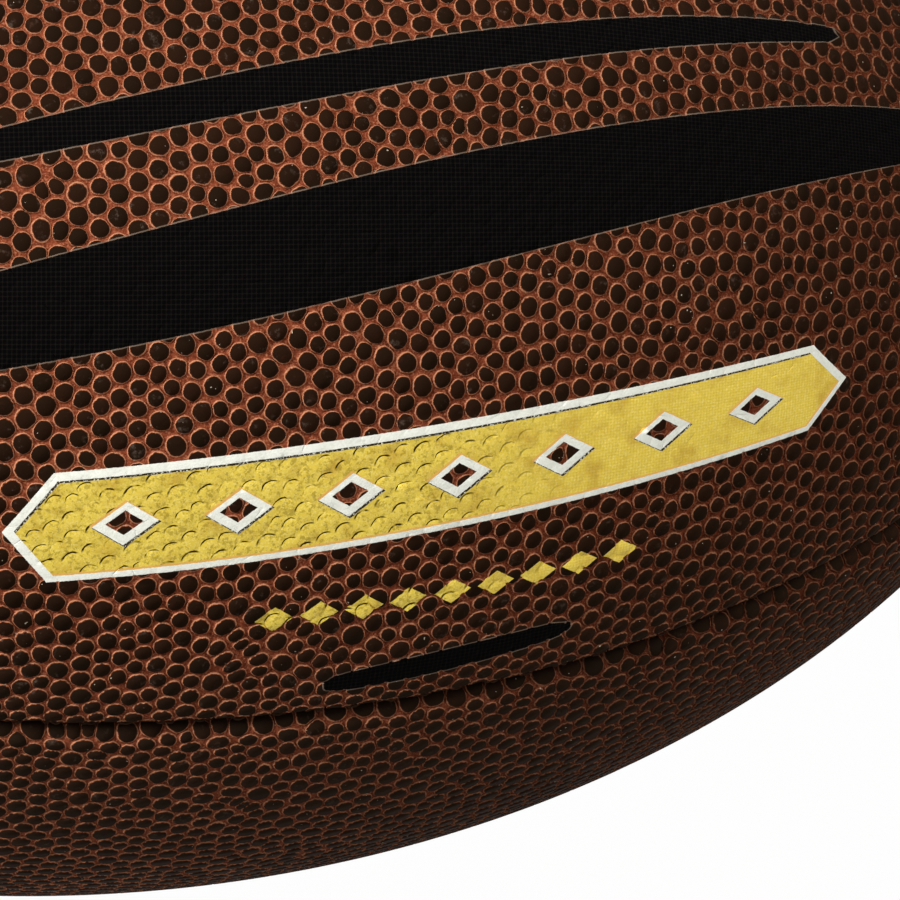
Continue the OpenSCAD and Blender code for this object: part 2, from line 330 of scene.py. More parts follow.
@dataclass(frozen=True)
class Hole:
    """A round hole through a panel, at a place along the ball and a turn round it."""

    x: float
    turn: float
    radius: float
    # Distance from the hole's edge to the ring of pebbles round it
    first_row: float = 1.15 * MM


@dataclass
class PanelSheet:
    """A cover panel as a flat sheet: the middle line is along u, the seams are at p = -/+ reach."""

    quarter: Quarter
    # Places along the top seam where the lace opens the crease
    seam_holes: tuple[float, ...] = ()

    def _edge(self, t: Array) -> tuple[Array, ...]:
        """Trim share, ball radius, roll radius and roll centre's distance from the seam."""
        r = BALL.radius(t)
        trim = np.minimum(1, r / EDGE.trim_r)
        return trim, r, EDGE.roll_r * trim, (EDGE.seam_gap / 2 + EDGE.roll_r) * trim

    def half_width(self, t: Array) -> Array:
        """Half the sheet's width at stations t, rolled edges laid flat."""
        _, r, roll, centre = self._edge(t)
        return r * (QUARTER / 2 - np.arcsin(centre / r)) + QUARTER * roll

    def reach(self, u: Array) -> Array:
        """Half the sheet's width on the plane."""
        t = station_at_flat(u)
        return self.half_width(t) / BALL.radius(t)

    def _near_seam(self, q: Array, arc: Array) -> tuple[Array, Array]:
        """Wander and pull of the seam that each point is nearer to."""
        low, high = (SEAMS[s] for s in self.quarter.value)
        upper = q > 0
        return (
            np.where(upper, high.wander(arc), low.wander(arc)),
            np.where(upper, high.pull(arc), low.pull(arc)),
        )

    def to_space(self, u: Array, p: Array, h: Array, inner: bool = False, drop: float = 0) -> Array:
        """Points of space for places on the sheet.

        Args:
            u: Places along the sheet.
            p: Places across the sheet.
            h: Heights above the cover's surface, for the outside only.
            inner: Whether the points lie on the panel's inside.
            drop: How far down the lip a point lies, for points on the sheet's edge.

        Returns:
            The points, one to a row.
        """
        t = station_at_flat(u)
        trim, r, roll, centre = self._edge(t)
        half = self.half_width(t)
        q = p * r / half
        arc = arc_of(t)
        wander, pull = self._near_seam(q, arc)
        w = np.maximum(0, (1 - np.abs(q)) * half)
        face = half - QUARTER * roll
        base = 0.0
        if inner:
            base, h = EDGE.cover_t, np.zeros_like(h)
            radius = (EDGE.roll_r - EDGE.cover_t) * trim
        else:
            radius = roll
            h = h - EDGE.pull * pull * np.exp(-((w / EDGE.pull_across) ** 2)) * trim
        angle = np.minimum(QUARTER, w / np.maximum(roll, 1e-9))
        aside = centre - (radius + h) * np.cos(angle)
        depth = base + radius - (radius + h) * np.sin(angle) + drop
        on_face = w >= QUARTER * roll
        depth = np.where(on_face, base - h, depth)
        x, out = BALL.skin(t, -depth)
        first = np.arcsin((centre / out).clip(-1, 1))
        share = ((w - QUARTER * roll) / face).clip(0, 1)
        turn = np.where(
            on_face, first + (QUARTER / 2 - first) * share, np.arcsin((aside / out).clip(-1, 1))
        )
        side = np.where(q > 0, 1.0, -1.0)
        turn = self.quarter.middle + side * (QUARTER / 2 - turn)
        turn += wander * trim / out * np.exp(-((w / EDGE.wander_reach) ** 2))
        found = np.stack([x, out * np.sin(turn), out * np.cos(turn)], -1)
        return self._open_for_lace(found)

    def _open_for_lace(self, points: Array) -> Array:
        """Moves points near a hole on the seam out to the hole's wall."""
        for place in self.seam_holes:
            t = BALL.station(place)
            centre = BALL.place(np.array(t), np.array(0.0), np.array(0.0))
            axis = np.array([BALL.normal(t)[0], 0, BALL.normal(t)[1]])
            away = points - centre
            away -= (away @ axis)[:, None] * axis
            far = np.linalg.norm(away, axis=1)
            wall = LACING.hole_d / 2
            near = (far < LACING.give * wall) & (points @ axis > 0)
            # Points inside the wall are spread from it outwards, in their old order
            new = (wall**3 + far**3) ** (1 / 3)
            grow = np.where(near, new / np.maximum(far, 1e-9) - 1, 0)
            fade = ((LACING.give * wall - far) / wall).clip(0, 1)
            side = np.where(self.quarter is Quarter.TOP_BACK, 1.0, -1.0)
            # Directions are kept on the panel's own side of the seam
            away[:, 1] = side * np.abs(away[:, 1])
            points = points + away * (grow * fade)[:, None]
        return points


# Pebbles

# Kinds of mirror images: over a seam, over a tip (both with the side's sign), in hole 0 and on
SEAM_IMAGE, TIP_IMAGE, HOLE_IMAGE = 1, 2, 10
# The most that a kind of image can be, plus one
IMAGE_KINDS = 100
# Value of an ink far outside it
NO_INK = -1e3


@dataclass
class Cells:
    """Cells of one panel on the plane: their middles and their corner points."""

    sites: Array
    corners: Array
    # Cell and corner of each row of a list, in turning order round each cell
    site: Array
    corner: Array
    # What each corner lies on: 0 inside the sheet, 1 a seam, 2 a tip or a hole
    side: Array


@dataclass
class PebbleField:
    """Even but irregular cells over one panel's sheet, ending on its edges and holes."""

    sheet: PanelSheet
    holes: tuple[Hole, ...]
    seed: int
    cell_area: float = 6.9 * MM**2
    # Station at which the cells end, and how often they are evened out
    end: float = math.radians(88.9)
    rounds: int = 3
    # Spread of the first places, and their least distances from a seam and a tip, in pitches
    jitter: float = 0.27
    from_seam: float = 0.2
    from_tip: float = 0.3
    # Shift of every other row, in pitches, and distance round a hole without a free place
    stagger: float = 0.25
    clear_rows: float = 1.75
    # Least number of pebbles round a hole, and how deep in it their images may lie
    least_round: int = 6
    deepest: float = 0.8
    # How round a corner between three pebbles is placed: 1 is at equal distances
    even: float = 0.65
    # Width of the strip of cells that is mirrored over an edge, in cells
    mirrored: float = 2.6
    # Width of the strip at a seam where cells are drawn out, and how much longer they get
    drawn_out: float = 7 * MM
    more: float = 0.8
    widest_strip: float = 0.4

    def __post_init__(self) -> None:
        self.u_end = float(flat_of(self.end))
        self.spots = []
        for hole in self.holes:
            t = BALL.station(hole.x)
            r = float(BALL.radius(t))
            p = (hole.turn - self.sheet.quarter.middle + math.pi) % TURN - math.pi
            self.spots.append((float(flat_of(t)), p, hole.radius / r, hole.first_row / r))

    def _first_sites(self) -> Array:
        """Sites in jittered rows across the sheet, as many as fit."""
        draw = np.random.default_rng(self.seed)
        pitch = math.sqrt(self.cell_area * 2 / math.sqrt(3))
        row_gap = pitch * math.sqrt(3) / 2
        top = arc_of(self.end)
        rows = int(round(2 * top / row_gap))
        found = []
        for i in range(rows):
            arc = -top + (i + 0.5) * 2 * top / rows
            half = self.sheet.half_width(station_at_arc(arc))
            count = max(1, int(round(2 * half / pitch)))
            shift = self.stagger if i % 2 else -self.stagger
            w = (np.arange(count) + 0.5 + shift) / count * 2 - 1
            w = w * half + draw.normal(0, self.jitter * pitch, count)
            at = station_at_arc(arc + draw.normal(0, self.jitter * pitch, count))
            margin = self.from_seam * pitch
            w = np.clip(w, -half + margin, half - margin)
            found.append(np.stack([flat_of(at), w / BALL.radius(at)], 1))
        sites = np.concatenate(found)
        limit = self.u_end - self.from_tip * pitch / BALL.radius(np.array(self.end))
        sites[:, 0] = sites[:, 0].clip(-limit, limit)
        return sites

    def _rings(self) -> tuple[Array, Array, Array]:
        """Fixed sites round each hole, their mirror images inside it, and each image's hole."""
        out, back, which = [np.zeros((0, 2))], [np.zeros((0, 2))], []
        pitch = math.sqrt(self.cell_area)
        for k, (u, p, radius, row) in enumerate(self.spots):
            girth = TURN * (radius + row) * radius_at_flat(u)
            count = max(self.least_round, int(round(girth / pitch)))
            way = ways(even_turns(count))
            out.append([u, p] + way * (radius + row))
            back.append([u, p] + way * (radius - min(row, self.deepest * radius)))
            which += [k] * count
        return np.concatenate(out), np.concatenate(back), np.array(which, int)

    def _with_images(
        self, sites: Array, images: Array, which: Array, fixed: int
    ) -> tuple[Array, Array, Array]:
        """Adds the mirror images over seams and tips.

        Args:
            sites: All real sites, the fixed ones last.
            images: Mirror images of the fixed sites inside the holes.
            which: Hole of each of those images.
            fixed: Number of fixed sites.

        Returns:
            All points, the site that each stands for, and its kind, 0 for a real site.
        """
        n = len(sites)
        near = self.mirrored * math.sqrt(self.cell_area) / radius_at_flat(sites[:, 0])
        reach = self.sheet.reach(sites[:, 0])
        ends = np.full(n, self.u_end)
        parts, of, kind = [sites], [np.arange(n)], [np.zeros(n, int)]
        for side in (1, -1):
            for over, column, limit in ((SEAM_IMAGE, 1, reach), (TIP_IMAGE, 0, ends)):
                rows = np.flatnonzero(limit - side * sites[:, column] < near)
                image = sites[rows].copy()
                image[:, column] = side * 2 * limit[rows] - image[:, column]
                parts.append(image)
                of.append(rows)
                kind.append(np.full(len(rows), over * side))
        parts.append(images)
        of.append(np.arange(n - fixed, n))
        kind.append(HOLE_IMAGE + which)
        return np.concatenate(parts), np.concatenate(of), np.concatenate(kind)

    def _corner_points(self, points: Array, tris: Array, kinds: Array) -> tuple[Array, Array]:
        """Corner point of each triangle, on the sheet's edge where the triangle crosses it.

        Args:
            points: All points, images among them.
            tris: Point numbers of the triangles.
            kinds: Kinds of the points.

        Returns:
            The corner points, and what each lies on, as in Cells.
        """
        a, b, c = (points[tris[:, k]] for k in range(3))
        d = 2 * turn_from(b - a, c - a)
        bb, cc = ((b - a) ** 2).sum(1), ((c - a) ** 2).sum(1)
        ring = a + np.stack(
            [
                ((c - a)[:, 1] * bb - (b - a)[:, 1] * cc) / d,
                ((b - a)[:, 0] * cc - (c - a)[:, 0] * bb) / d,
            ],
            1,
        )
        middle = (a + b + c) / 3
        k = kinds[tris]
        inside = (k == 0).all(1)
        found = np.where(inside[:, None], self.even * ring + (1 - self.even) * middle, ring)
        seam, tip = (
            np.where((k == over).any(1), 1, np.where((k == -over).any(1), -1, 0))
            for over in (SEAM_IMAGE, TIP_IMAGE)
        )
        found[:, 0] = np.where(tip != 0, tip * self.u_end, found[:, 0])
        limit = self.sheet.reach(found[:, 0])
        found[:, 1] = np.where(seam != 0, seam * limit, found[:, 1].clip(-limit, limit))
        side = np.where(seam != 0, 1, np.where(tip != 0, 2, 0))
        for i, (u, p, radius, _) in enumerate(self.spots):
            rows = (k == HOLE_IMAGE + i).any(1)
            away = found[rows] - [u, p]
            found[rows] = [u, p] + away / np.linalg.norm(away, axis=1)[:, None] * radius
            side[rows] = 2
        return found, side

    def _cells(self, sites: Array, images: Array, which: Array, fixed: int) -> Cells:
        """Cells of the sites as they are, with the same arguments as _with_images."""
        points, of, kinds = self._with_images(sites, images, which, fixed)
        faces = delaunay_2d_cdt([Vector(p) for p in points], [], [], 0, 1e-9, False)[2]
        tris = np.array(faces)
        tris = tris[(kinds[tris] == 0).any(1)]
        corners, side = self._corner_points(points, tris, kinds)
        # A triangle over the sheet's edge and its mirror image share one corner
        over = (kinds[tris] != 0).any(1)
        first = np.sort(of[tris], axis=1)
        alike = (first[:, 0] == first[:, 1]) | (first[:, 1] == first[:, 2])
        edge = np.abs(kinds[tris]).max(1)
        middle = np.where(alike, first[:, 0], first[:, 1])
        key = (first[:, 0] * len(sites) + middle) * len(sites) + first[:, 2]
        key = key * IMAGE_KINDS + edge
        spare = len(tris) + HOLE_IMAGE - 1
        key = np.where(over, key, np.arange(len(tris)) - spare)
        # All triangles over one corner of the sheet share its point
        tips, seams = (
            np.where(np.abs(kinds[tris]) == kind, kinds[tris], 0).sum(1)
            for kind in (TIP_IMAGE, SEAM_IMAGE)
        )
        shared = -1 - (tips > 0) - 2 * (seams > 0) - 2 * spare
        key = np.where((tips != 0) & (seams != 0), shared, key)
        _, start, joined = np.unique(key, return_index=True, return_inverse=True)
        corners, side = corners[start], side[start]
        rows_site = tris.ravel()
        rows_corner = np.repeat(joined, 3)
        real = kinds[rows_site] == 0
        rows_site, rows_corner = rows_site[real], rows_corner[real]
        away = corners[rows_corner] - sites[rows_site]
        angle = np.arctan2(away[:, 1], away[:, 0])
        order = np.lexsort((angle, rows_site))
        rows_site, rows_corner = rows_site[order], rows_corner[order]
        # Equal neighbours in a cell's list are the shared corners
        keep = rows_corner != rows_corner[next_rows(rows_site)]
        return Cells(sites, corners, rows_site[keep], rows_corner[keep], side)

    def build(self) -> Cells:
        """The cells, evened out by moving each site to its cell's middle a few times."""
        ring, images, which = self._rings()
        sites = self._first_sites()
        for u, p, radius, row in self.spots:
            far = np.hypot(*(sites - [u, p]).T)
            sites = sites[far > radius + self.clear_rows * row]
        sites = np.concatenate([sites, ring])
        for _ in range(self.rounds):
            cells = self._cells(sites, images, which, len(ring))
            a = cells.corners[cells.corner]
            b = a[next_rows(cells.site)]
            c = sites[cells.site]
            area = np.abs(turn_from(a - c, b - c))
            total = np.bincount(cells.site, area, len(sites))
            moments = (area * (a + b + c)[:, k] / 3 for k in range(2))
            middle = np.stack(
                [np.bincount(cells.site, part, len(sites)) / total for part in moments], 1
            )
            free = len(sites) - len(ring)
            sites[:free] = middle[:free]
        cells = self._cells(sites, images, which, len(ring))
        for points in (cells.sites, cells.corners):
            self._draw_out(points)
        return cells

    def _draw_out(self, points: Array) -> None:
        """Draws out the last cells before the seams across the rolled edges."""
        reach = self.sheet.reach(points[:, 0])
        zone = np.minimum(self.drawn_out / radius_at_flat(points[:, 0]), self.widest_strip * reach)
        share = np.clip((reach - np.abs(points[:, 1])) / zone, 0, 1)
        inward = zone * self.more * share * (1 - share) ** 2
        points[:, 1] -= np.sign(points[:, 1]) * inward


# Printing


@dataclass(frozen=True)
class Band:
    """A printed band with a straight middle line and round, narrower ends, in millimetres."""

    start: float
    stop: float
    # Height of the middle line half way, its rise for each millimetre, and half the full width
    height: float
    rise: float
    half: float
    # How it tapers, 1 being a leaf's taper, and the width of its ends as a share of the full one
    power: float
    end: float = 0.45

    def inside(self, s: Array, y: Array) -> Array:
        """Distance inside the band's edge, below zero outside it."""
        share = ((s - self.start) / (self.stop - self.start)).clip(0, 1)
        full = np.sin(math.pi * share) ** self.power
        width = self.half * (self.end + (1 - self.end) * full)
        past = np.maximum(self.start - s, s - self.stop).clip(0)
        middle = self.height + self.rise * (s - (self.start + self.stop) / 2)
        return width - np.hypot(y - middle, past)


@dataclass(frozen=True)
class LozengeRow:
    """A printed row of equal lozenges, in millimetres, that rises from left to right."""

    middle: tuple[float, float]
    rise: float
    count: int
    pitch: float
    half_l: float
    half_w: float

    def place(self, s: Array, y: Array) -> tuple[Array, Array]:
        """Places along the row and across it, from its middle."""
        x = s - self.middle[0]
        return x, y - self.middle[1] - self.rise * x

    def inside(self, s: Array, y: Array) -> Array:
        """Distance inside the nearest lozenge's edge, below zero outside it."""
        x, y = self.place(s, y)
        at = (np.arange(self.count) - (self.count - 1) / 2) * self.pitch
        found = 1 - np.abs(x[:, None] - at) / self.half_l - np.abs(y[:, None]) / self.half_w
        return found.max(1) / math.hypot(1 / self.half_l, 1 / self.half_w)

    def ink(self, g: "Graph", effects: "Effects", shift: tuple[float, float] = (0, 0)) -> Socket:
        """Nodes for the same distance, with the row moved by a shift."""
        row = {
            "Place": g.print_place(self.middle, self.rise, shift), "Pitch": self.pitch,
            "Count": self.count, "Half Length": self.half_l, "Half Width": self.half_w,
        }
        return g.group(effects.lozenges, row).outputs[0]


@dataclass(frozen=True)
class Ribbon:
    """A printed ribbon, in millimetres, with pointed ends and windows along its middle line."""

    windows: LozengeRow = LozengeRow((38.3, -29.8), 0.096, 7, 14.4, 4.4, 3.1)
    half_l: float = 57.0
    half_w: float = 6.4
    point: float = 0.8

    def inside(self, s: Array, y: Array) -> Array:
        """Distance inside the ribbon's edge, below zero outside it and in its windows."""
        along, across = (np.abs(part) for part in self.windows.place(s, y))
        ends = (self.half_l - along - across * self.point) / math.hypot(1, self.point)
        body = np.minimum(self.half_w - across, ends)
        return np.minimum(body, -self.windows.inside(s, y))

    def ink(self, g: "Graph", effects: "Effects", shift: tuple[float, float] = (0, 0)) -> Socket:
        """Nodes for the same distance, with the ribbon moved by a shift."""
        place = g.print_place(self.windows.middle, self.windows.rise, shift)
        x, y = (g.math("ABSOLUTE", part) for part in g.add("SeparateXYZ", {0: place}).outputs[:2])
        ends = g.minus(self.half_l, g.math("MULTIPLY_ADD", y, self.point, x))
        ends = g.math("DIVIDE", ends, math.hypot(1, self.point))
        body = g.math("MINIMUM", g.minus(self.half_w, y), ends)
        windows = self.windows.ink(g, effects, shift)
        return g.math("MINIMUM", body, g.times(windows, -1.0))


@dataclass(frozen=True)
class Decoration:
    """Plain printing on one panel: black film, a ribbon of gold foil and small gold lozenges."""

    black: tuple[Band, ...] = (
        Band(-44, 118, 5.0, 0.22, 7.4, 0.42), Band(-34, 96, 24.5, 0.2, 2.7, 0.5),
        Band(24, 56, -58.8, 0.1, 1.9, 0.3),
    )
    ribbon: Ribbon = Ribbon()
    chain: LozengeRow = LozengeRow((39.0, -47.2), 0.065, 9, 5.9, 2.5, 1.9)
    # Widths of the foil's white edge, of the flat leather outside it and of the foil's own rim
    keyline: float = 1.15
    pressed: float = 0.9
    inset: float = 0.4
    # Places along the ball between which the foil turns from broken to smooth
    broken_to: float = 34.0
    smooth_from: float = 60.0
    # How much of the valleys' depth each ink fills, and how much more the smooth foil does
    film_fill: float = 0.82
    white_fill: float = 0.95
    foil_fill: float = 0.72
    smooth_fill: float = 0.2
    small_fill: float = 0.5

    def film(self, s: Array, y: Array) -> Array:
        """Distance inside the black film's edge, below zero outside it."""
        return np.max([band.inside(s, y) for band in self.black], axis=0)

    def filled(self, s: Array, y: Array) -> Array:
        """How much of the valleys' depth the inks fill, at places along and across."""
        ribbon = self.ribbon.inside(s, y)
        smooth = ((s - self.broken_to) / (self.smooth_from - self.broken_to)).clip(0, 1)
        black = self.film_fill * (self.film(s, y) > 0)
        white = self.white_fill * (ribbon > -self.keyline - self.pressed)
        gold = np.where(ribbon > self.inset, self.foil_fill + self.smooth_fill * smooth, white)
        small = self.small_fill * (self.chain.inside(s, y) > 0)
        return np.max([black, gold, small], axis=0)


# Panels


def ring_triangles(cell: Array, angle: Array, kind: Array) -> Array:
    """Triangles between an outer and an inner ring of each cell, by turning order.

    Args:
        cell: Cell of each point.
        angle: Angle of the middle of the ring's edge that ends at each point.
        kind: 0 for the outer ring, 1 for the inner one.

    Returns:
        Rows of the points given, three to a triangle.
    """
    order = np.lexsort((angle, cell))
    cell, kind = cell[order], kind[order]
    n = len(cell)
    last = np.r_[cell[1:] != cell[:-1], True]
    ends = np.flatnonzero(last)
    begin = np.repeat(np.r_[0, ends[:-1] + 1], np.diff(np.r_[-1, ends]))
    end = np.repeat(ends, np.diff(np.r_[-1, ends]))
    before = np.arange(n) - 1
    before = np.where(before < begin, end, before)
    seen = []
    for want in (0, 1):
        run = np.maximum.accumulate(np.where(kind == want, np.arange(n), -1))
        seen.append(order[np.where(run >= begin, run, run[end])][before])
    outer, inner = seen
    return np.where(
        (kind == 0)[:, None], np.stack([outer, order, inner], 1),
        np.stack([inner, outer, order], 1),
    )


@dataclass
class MeshData:
    """A mesh in the making: its points, and the point numbers of its triangles."""

    points: Array
    tris: Array
    # Values by name: one or three numbers for each point, three for each triangle's corner
    values: dict[str, Array] = field(default_factory=dict)
    corner_values: dict[str, Array] = field(default_factory=dict)
    # Places on the texture map, three to a triangle
    flat_map: Array | None = None

    def to_object(self, name: str, smooth: bool = True) -> Piece:
        """Makes the object.

        Args:
            name: Name of the object and its mesh.
            smooth: Whether it is shaded smooth.

        Returns:
            The object, in the scene.
        """
        mesh = bpy.data.meshes.new(name)
        mesh.vertices.add(len(self.points))
        mesh.vertices.foreach_set("co", self.points.astype(np.float32).ravel())
        mesh.loops.add(self.tris.size)
        mesh.loops.foreach_set("vertex_index", self.tris.astype(np.int32).ravel())
        mesh.polygons.add(len(self.tris))
        mesh.polygons.foreach_set("loop_start", np.arange(0, self.tris.size, 3, dtype=np.int32))
        mesh.update(calc_edges=True)
        mesh.validate()
        if smooth:
            mesh.shade_smooth()
        for held, where in ((self.values, "POINT"), (self.corner_values, "CORNER")):
            for key, value in held.items():
                kind, slot = ("FLOAT", "value") if value.ndim == 1 else ("FLOAT_VECTOR", "vector")
                layer = mesh.attributes.new(key, kind, where)
                layer.data.foreach_set(slot, value.astype(np.float32).ravel())
        if self.flat_map is not None:
            layer = mesh.uv_layers.new(name="OFBake")
            layer.uv.foreach_set("vector", self.flat_map.astype(np.float32).ravel())
        made = bpy.data.objects.new(name, mesh)
        bpy.context.scene.collection.objects.link(made)
        return made


@dataclass
class CoverPanel:
    """One cover panel with its pebbles, rolled edges and lips, as a closed solid."""

    # Names of the piece and of the solid that it stands for
    name: str
    node: str
    quarter: Quarter
    seed: int
    holes: tuple[Hole, ...] = ()
    seam_holes: tuple[float, ...] = ()
    decoration: Decoration | None = None
    sides: int = 9
    # Shoulder and top's edge as shares of a pebble's cell, and its furthest reach
    shoulder_at: float = 0.92
    top_at: float = 0.8
    most_round: float = 1.08
    # Spread of the tops' sizes with its limits, and of their outlines
    size_spread: float = 0.035
    size_limits: tuple[float, float] = (0.9, 1.06)
    outline_spread: float = 0.03
    # Depth of the valleys with its spread and limits, and of shoulders and tops as shares of it
    valley: float = 0.27 * MM
    valley_spread: float = 0.12
    valley_limits: tuple[float, float] = (0.7, 1.3)
    shoulder_depth: float = 0.84
    top_spread: float = 0.02
    draw_seed: int = 100
    # Sheet scale of the printing: millimetres across for one radian of turn
    print_r: float = 85.0
    # Rounding of a hole's edge, and the depths of two rings below it, as shares
    hole_edge: float = 0.35 * MM
    hole_rings: tuple[float, float] = (0.4, 0.65)
    # The inside's points: their distance, their least distance from a hole in its radii, and
    # the rows at the rolled edges
    inner_pitch: float = 7 * MM
    inner_clear: float = 1.5
    roll_points: int = 90
    roll_rows: tuple[float, ...] = (0.45, 1.0)
    # Margin of the texture map, and its strips for the outside, the lips and the inside
    map_margin: float = 0.01
    map_strips: tuple[tuple[float, float], ...] = ((0.01, 0.74), (0.757, 0.016), (0.78, 0.21))
    map_spread: float = 1.03

    def build(self) -> Piece:
        """Builds the panel and puts it in the place of its solid."""
        sheet = PanelSheet(self.quarter, self.seam_holes)
        pebbles = PebbleField(sheet, self.holes, self.seed)
        cells = pebbles.build()
        u, p, h, disc, tris = self._outside(cells)
        along, across = arc_of(station_at_flat(u)) / MM, p * self.print_r
        values = {"sheet": np.stack([along, across, np.zeros_like(u)], 1)}
        if self.decoration:
            values["black_ink"] = self.decoration.film(along, across)
            h = h * (1 - self.decoration.filled(along, across))
        points = sheet.to_space(u, p, h)
        data = self._close(sheet, pebbles, cells, (u, p, points), tris, values)
        plain = np.tile([2.0, 0.0, 0.5], (len(data.tris) - len(tris), 3, 1))
        data.corner_values = {"disc": np.concatenate([disc, plain])}
        made = data.to_object(self.name)
        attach(made, BODY)
        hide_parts(self.node)
        LOG.info("%s: %d pebbles, %d faces", self.name, len(cells.sites), len(data.tris))
        return made

    @staticmethod
    def _edge_distance(site: Array, away: Array, turned: Array, angle: Array) -> Array:
        """Distance from each pebble's middle to its cell's edge in given directions.

        Args:
            site: Cell of each corner, ascending.
            away: Arrows from the cells' middles to their corners.
            turned: Angles of those arrows, ascending within a cell.
            angle: Angles of the directions, a row for each cell, as in the result.
        """
        n, k = angle.shape
        # Cells are further apart than a whole turn in these keys
        gap = 10
        row = np.searchsorted(
            site * gap + turned, (np.arange(n)[:, None] * gap + angle).ravel(), side="right"
        ) - 1
        of = np.repeat(np.arange(n), k)
        begin = np.searchsorted(site, of)
        stop = np.searchsorted(site, of, side="right") - 1
        row = np.where(row < begin, stop, row)
        a, b = away[row], away[next_rows(site)[row]]
        far = turn_from(a, b - a) / turn_from(ways(angle).reshape(-1, 2), b - a)
        return np.abs(far).reshape(n, k)

    def _outside(self, cells: Cells) -> tuple[Array, ...]:
        """Points and triangles of the pebbled outside.

        Returns:
            Places u and p, heights, the disc value of each triangle's corners, and the
            triangles.
        """
        draw = np.random.default_rng(self.seed + self.draw_seed)
        n, k = len(cells.sites), self.sides
        angle = draw.uniform(0, TURN / k, n)[:, None] + even_turns(k)
        away = cells.corners[cells.corner] - cells.sites[cells.site]
        turned = np.arctan2(away[:, 1], away[:, 0]) % TURN
        order = np.lexsort((turned, cells.site))
        site, corner, away, turned = (
            rows[order] for rows in (cells.site, cells.corner, away, turned)
        )
        after = next_rows(site)
        of = np.repeat(np.arange(n), k)
        way = ways(angle)
        far = self._edge_distance(site, away, turned, angle)
        round_far = (np.roll(far, 1, 1) + 4 * far + np.roll(far, -1, 1)) / 6
        round_far = np.minimum(round_far, far * self.most_round)
        grow = draw.normal(1, self.size_spread, n).clip(*self.size_limits)[:, None, None]
        spot = cells.sites[:, None, :]
        wobble = draw.normal(1, self.outline_spread, (n, k, 1))
        shoulder = spot + way * (round_far[..., None] * self.shoulder_at)
        top = spot + way * (round_far[..., None] * self.top_at * wobble * grow)
        c = len(cells.corners)
        first = c + np.arange(n * k).reshape(n, k)
        second = first + n * k
        # A disc value has its direction from the pebble's middle and is one long at its top's edge
        tone = draw.uniform(0, 1, n)
        ring = np.concatenate([way, np.repeat(tone, k).reshape(n, k, 1)], -1)
        reach = np.array([self.shoulder_at / self.top_at] * 2 + [1])
        mean = far.mean(1)[site]
        corner_way = away / (mean * self.top_at)[:, None]
        # Each ring's edges come in the order of their middles
        before = np.empty(len(site), int)
        before[after] = np.arange(len(site))
        turned = turned - (turned - turned[before]) % TURN / 2
        middles = np.r_[turned, angle.ravel() - math.pi / k] % TURN
        kind = np.r_[np.zeros(len(site), int), np.ones(n * k, int)]
        rows = ring_triangles(np.r_[site, of], middles, kind)
        strip = np.r_[corner, first.ravel()][rows]
        strip_disc = np.concatenate(
            [np.c_[corner_way, tone[site]], (ring * reach).reshape(-1, 3)]
        )[rows]
        first_b, second_b = np.roll(first, -1, 1), np.roll(second, -1, 1)
        ring_b = np.roll(ring, -1, 1)
        parts = [
            (strip, strip_disc),
            ((first, first_b, second_b), (ring * reach, ring_b * reach, ring_b)),
            ((first, second_b, second), (ring * reach, ring_b, ring)),
        ]
        for i in range(1, k - 1):
            fan = [second[:, j] for j in (0, i, i + 1)]
            parts.append((fan, [ring[:, j] for j in (0, i, i + 1)]))
        tris = np.concatenate(
            [parts[0][0]] + [np.stack(ids, -1).reshape(-1, 3) for ids, _ in parts[1:]]
        )
        disc = np.concatenate(
            [parts[0][1]] + [np.stack(d, -2).reshape(-1, 3, 3) for _, d in parts[1:]]
        )
        plane = np.concatenate([cells.corners, shoulder.reshape(-1, 2), top.reshape(-1, 2)])
        deep = draw.normal(1, self.valley_spread, c).clip(*self.valley_limits)
        low = np.repeat(draw.normal(0, self.top_spread, n), k).clip(0)
        h = -self.valley * np.concatenate([deep, np.full(n * k, self.shoulder_depth), low])
        return plane[:, 0], plane[:, 1], h, disc, tris

    def _close(
        self, sheet: PanelSheet, pebbles: PebbleField, cells: Cells,
        outside: tuple[Array, Array, Array], tris: Array, values: dict[str, Array],
    ) -> MeshData:
        """Adds lips, hole walls and the inside to the pebbled outside.

        Args:
            sheet: The panel's sheet.
            pebbles: Field that its cells came from.
            cells: The cells, whose corners are the outside's first points.
            outside: Places u and p and the points of space of the outside.
            tris: Triangles of the outside, which stay first.
            values: Values of the outside's points by name.
        """
        u, p, points = outside
        edges = triangle_edges(tris).reshape(-1, 2)
        size = len(u)
        rim = edges[~np.isin(edge_codes(edges, size), edge_codes(edges[:, ::-1], size))]
        ids = np.unique(rim)
        lookup = np.full(size, -1)
        lookup[ids] = np.arange(len(ids))
        n = len(ids)
        on_seam = (cells.side[ids] == 1)[:, None]
        ru, rp, none = u[ids], p[ids], np.zeros(n)
        trim = np.minimum(1, radius_at_flat(ru) / EDGE.trim_r)
        drop = (EDGE.lip_depth - EDGE.roll_r) * trim
        upper, lower = self.hole_rings
        depth = self.hole_edge + upper * (EDGE.cover_t - self.hole_edge)
        wall = sheet.to_space(ru, rp, none - depth)
        inner = sheet.to_space(ru, rp, none, inner=True)
        hole_low = (1 - lower) * wall + lower * inner
        second = np.where(on_seam, sheet.to_space(ru, rp, none, drop=drop), wall)
        third = np.where(on_seam, sheet.to_space(ru, rp, none, inner=True, drop=drop), hole_low)
        flat, inner_tris = self._inside(sheet, pebbles, np.stack([ru, rp], 1), lookup[rim])
        inner_points = np.concatenate(
            [inner, sheet.to_space(flat[n:, 0], flat[n:, 1], np.zeros(len(flat) - n), inner=True)]
        )
        all_points = np.concatenate([points, second, third, inner_points])
        a, b = rim[:, 0], rim[:, 1]
        la, lb = lookup[a], lookup[b]
        levels = [(a, b)] + [(size + i * n + la, size + i * n + lb) for i in range(3)]
        sides = []
        for (a0, b0), (a1, b1) in zip(levels, levels[1:]):
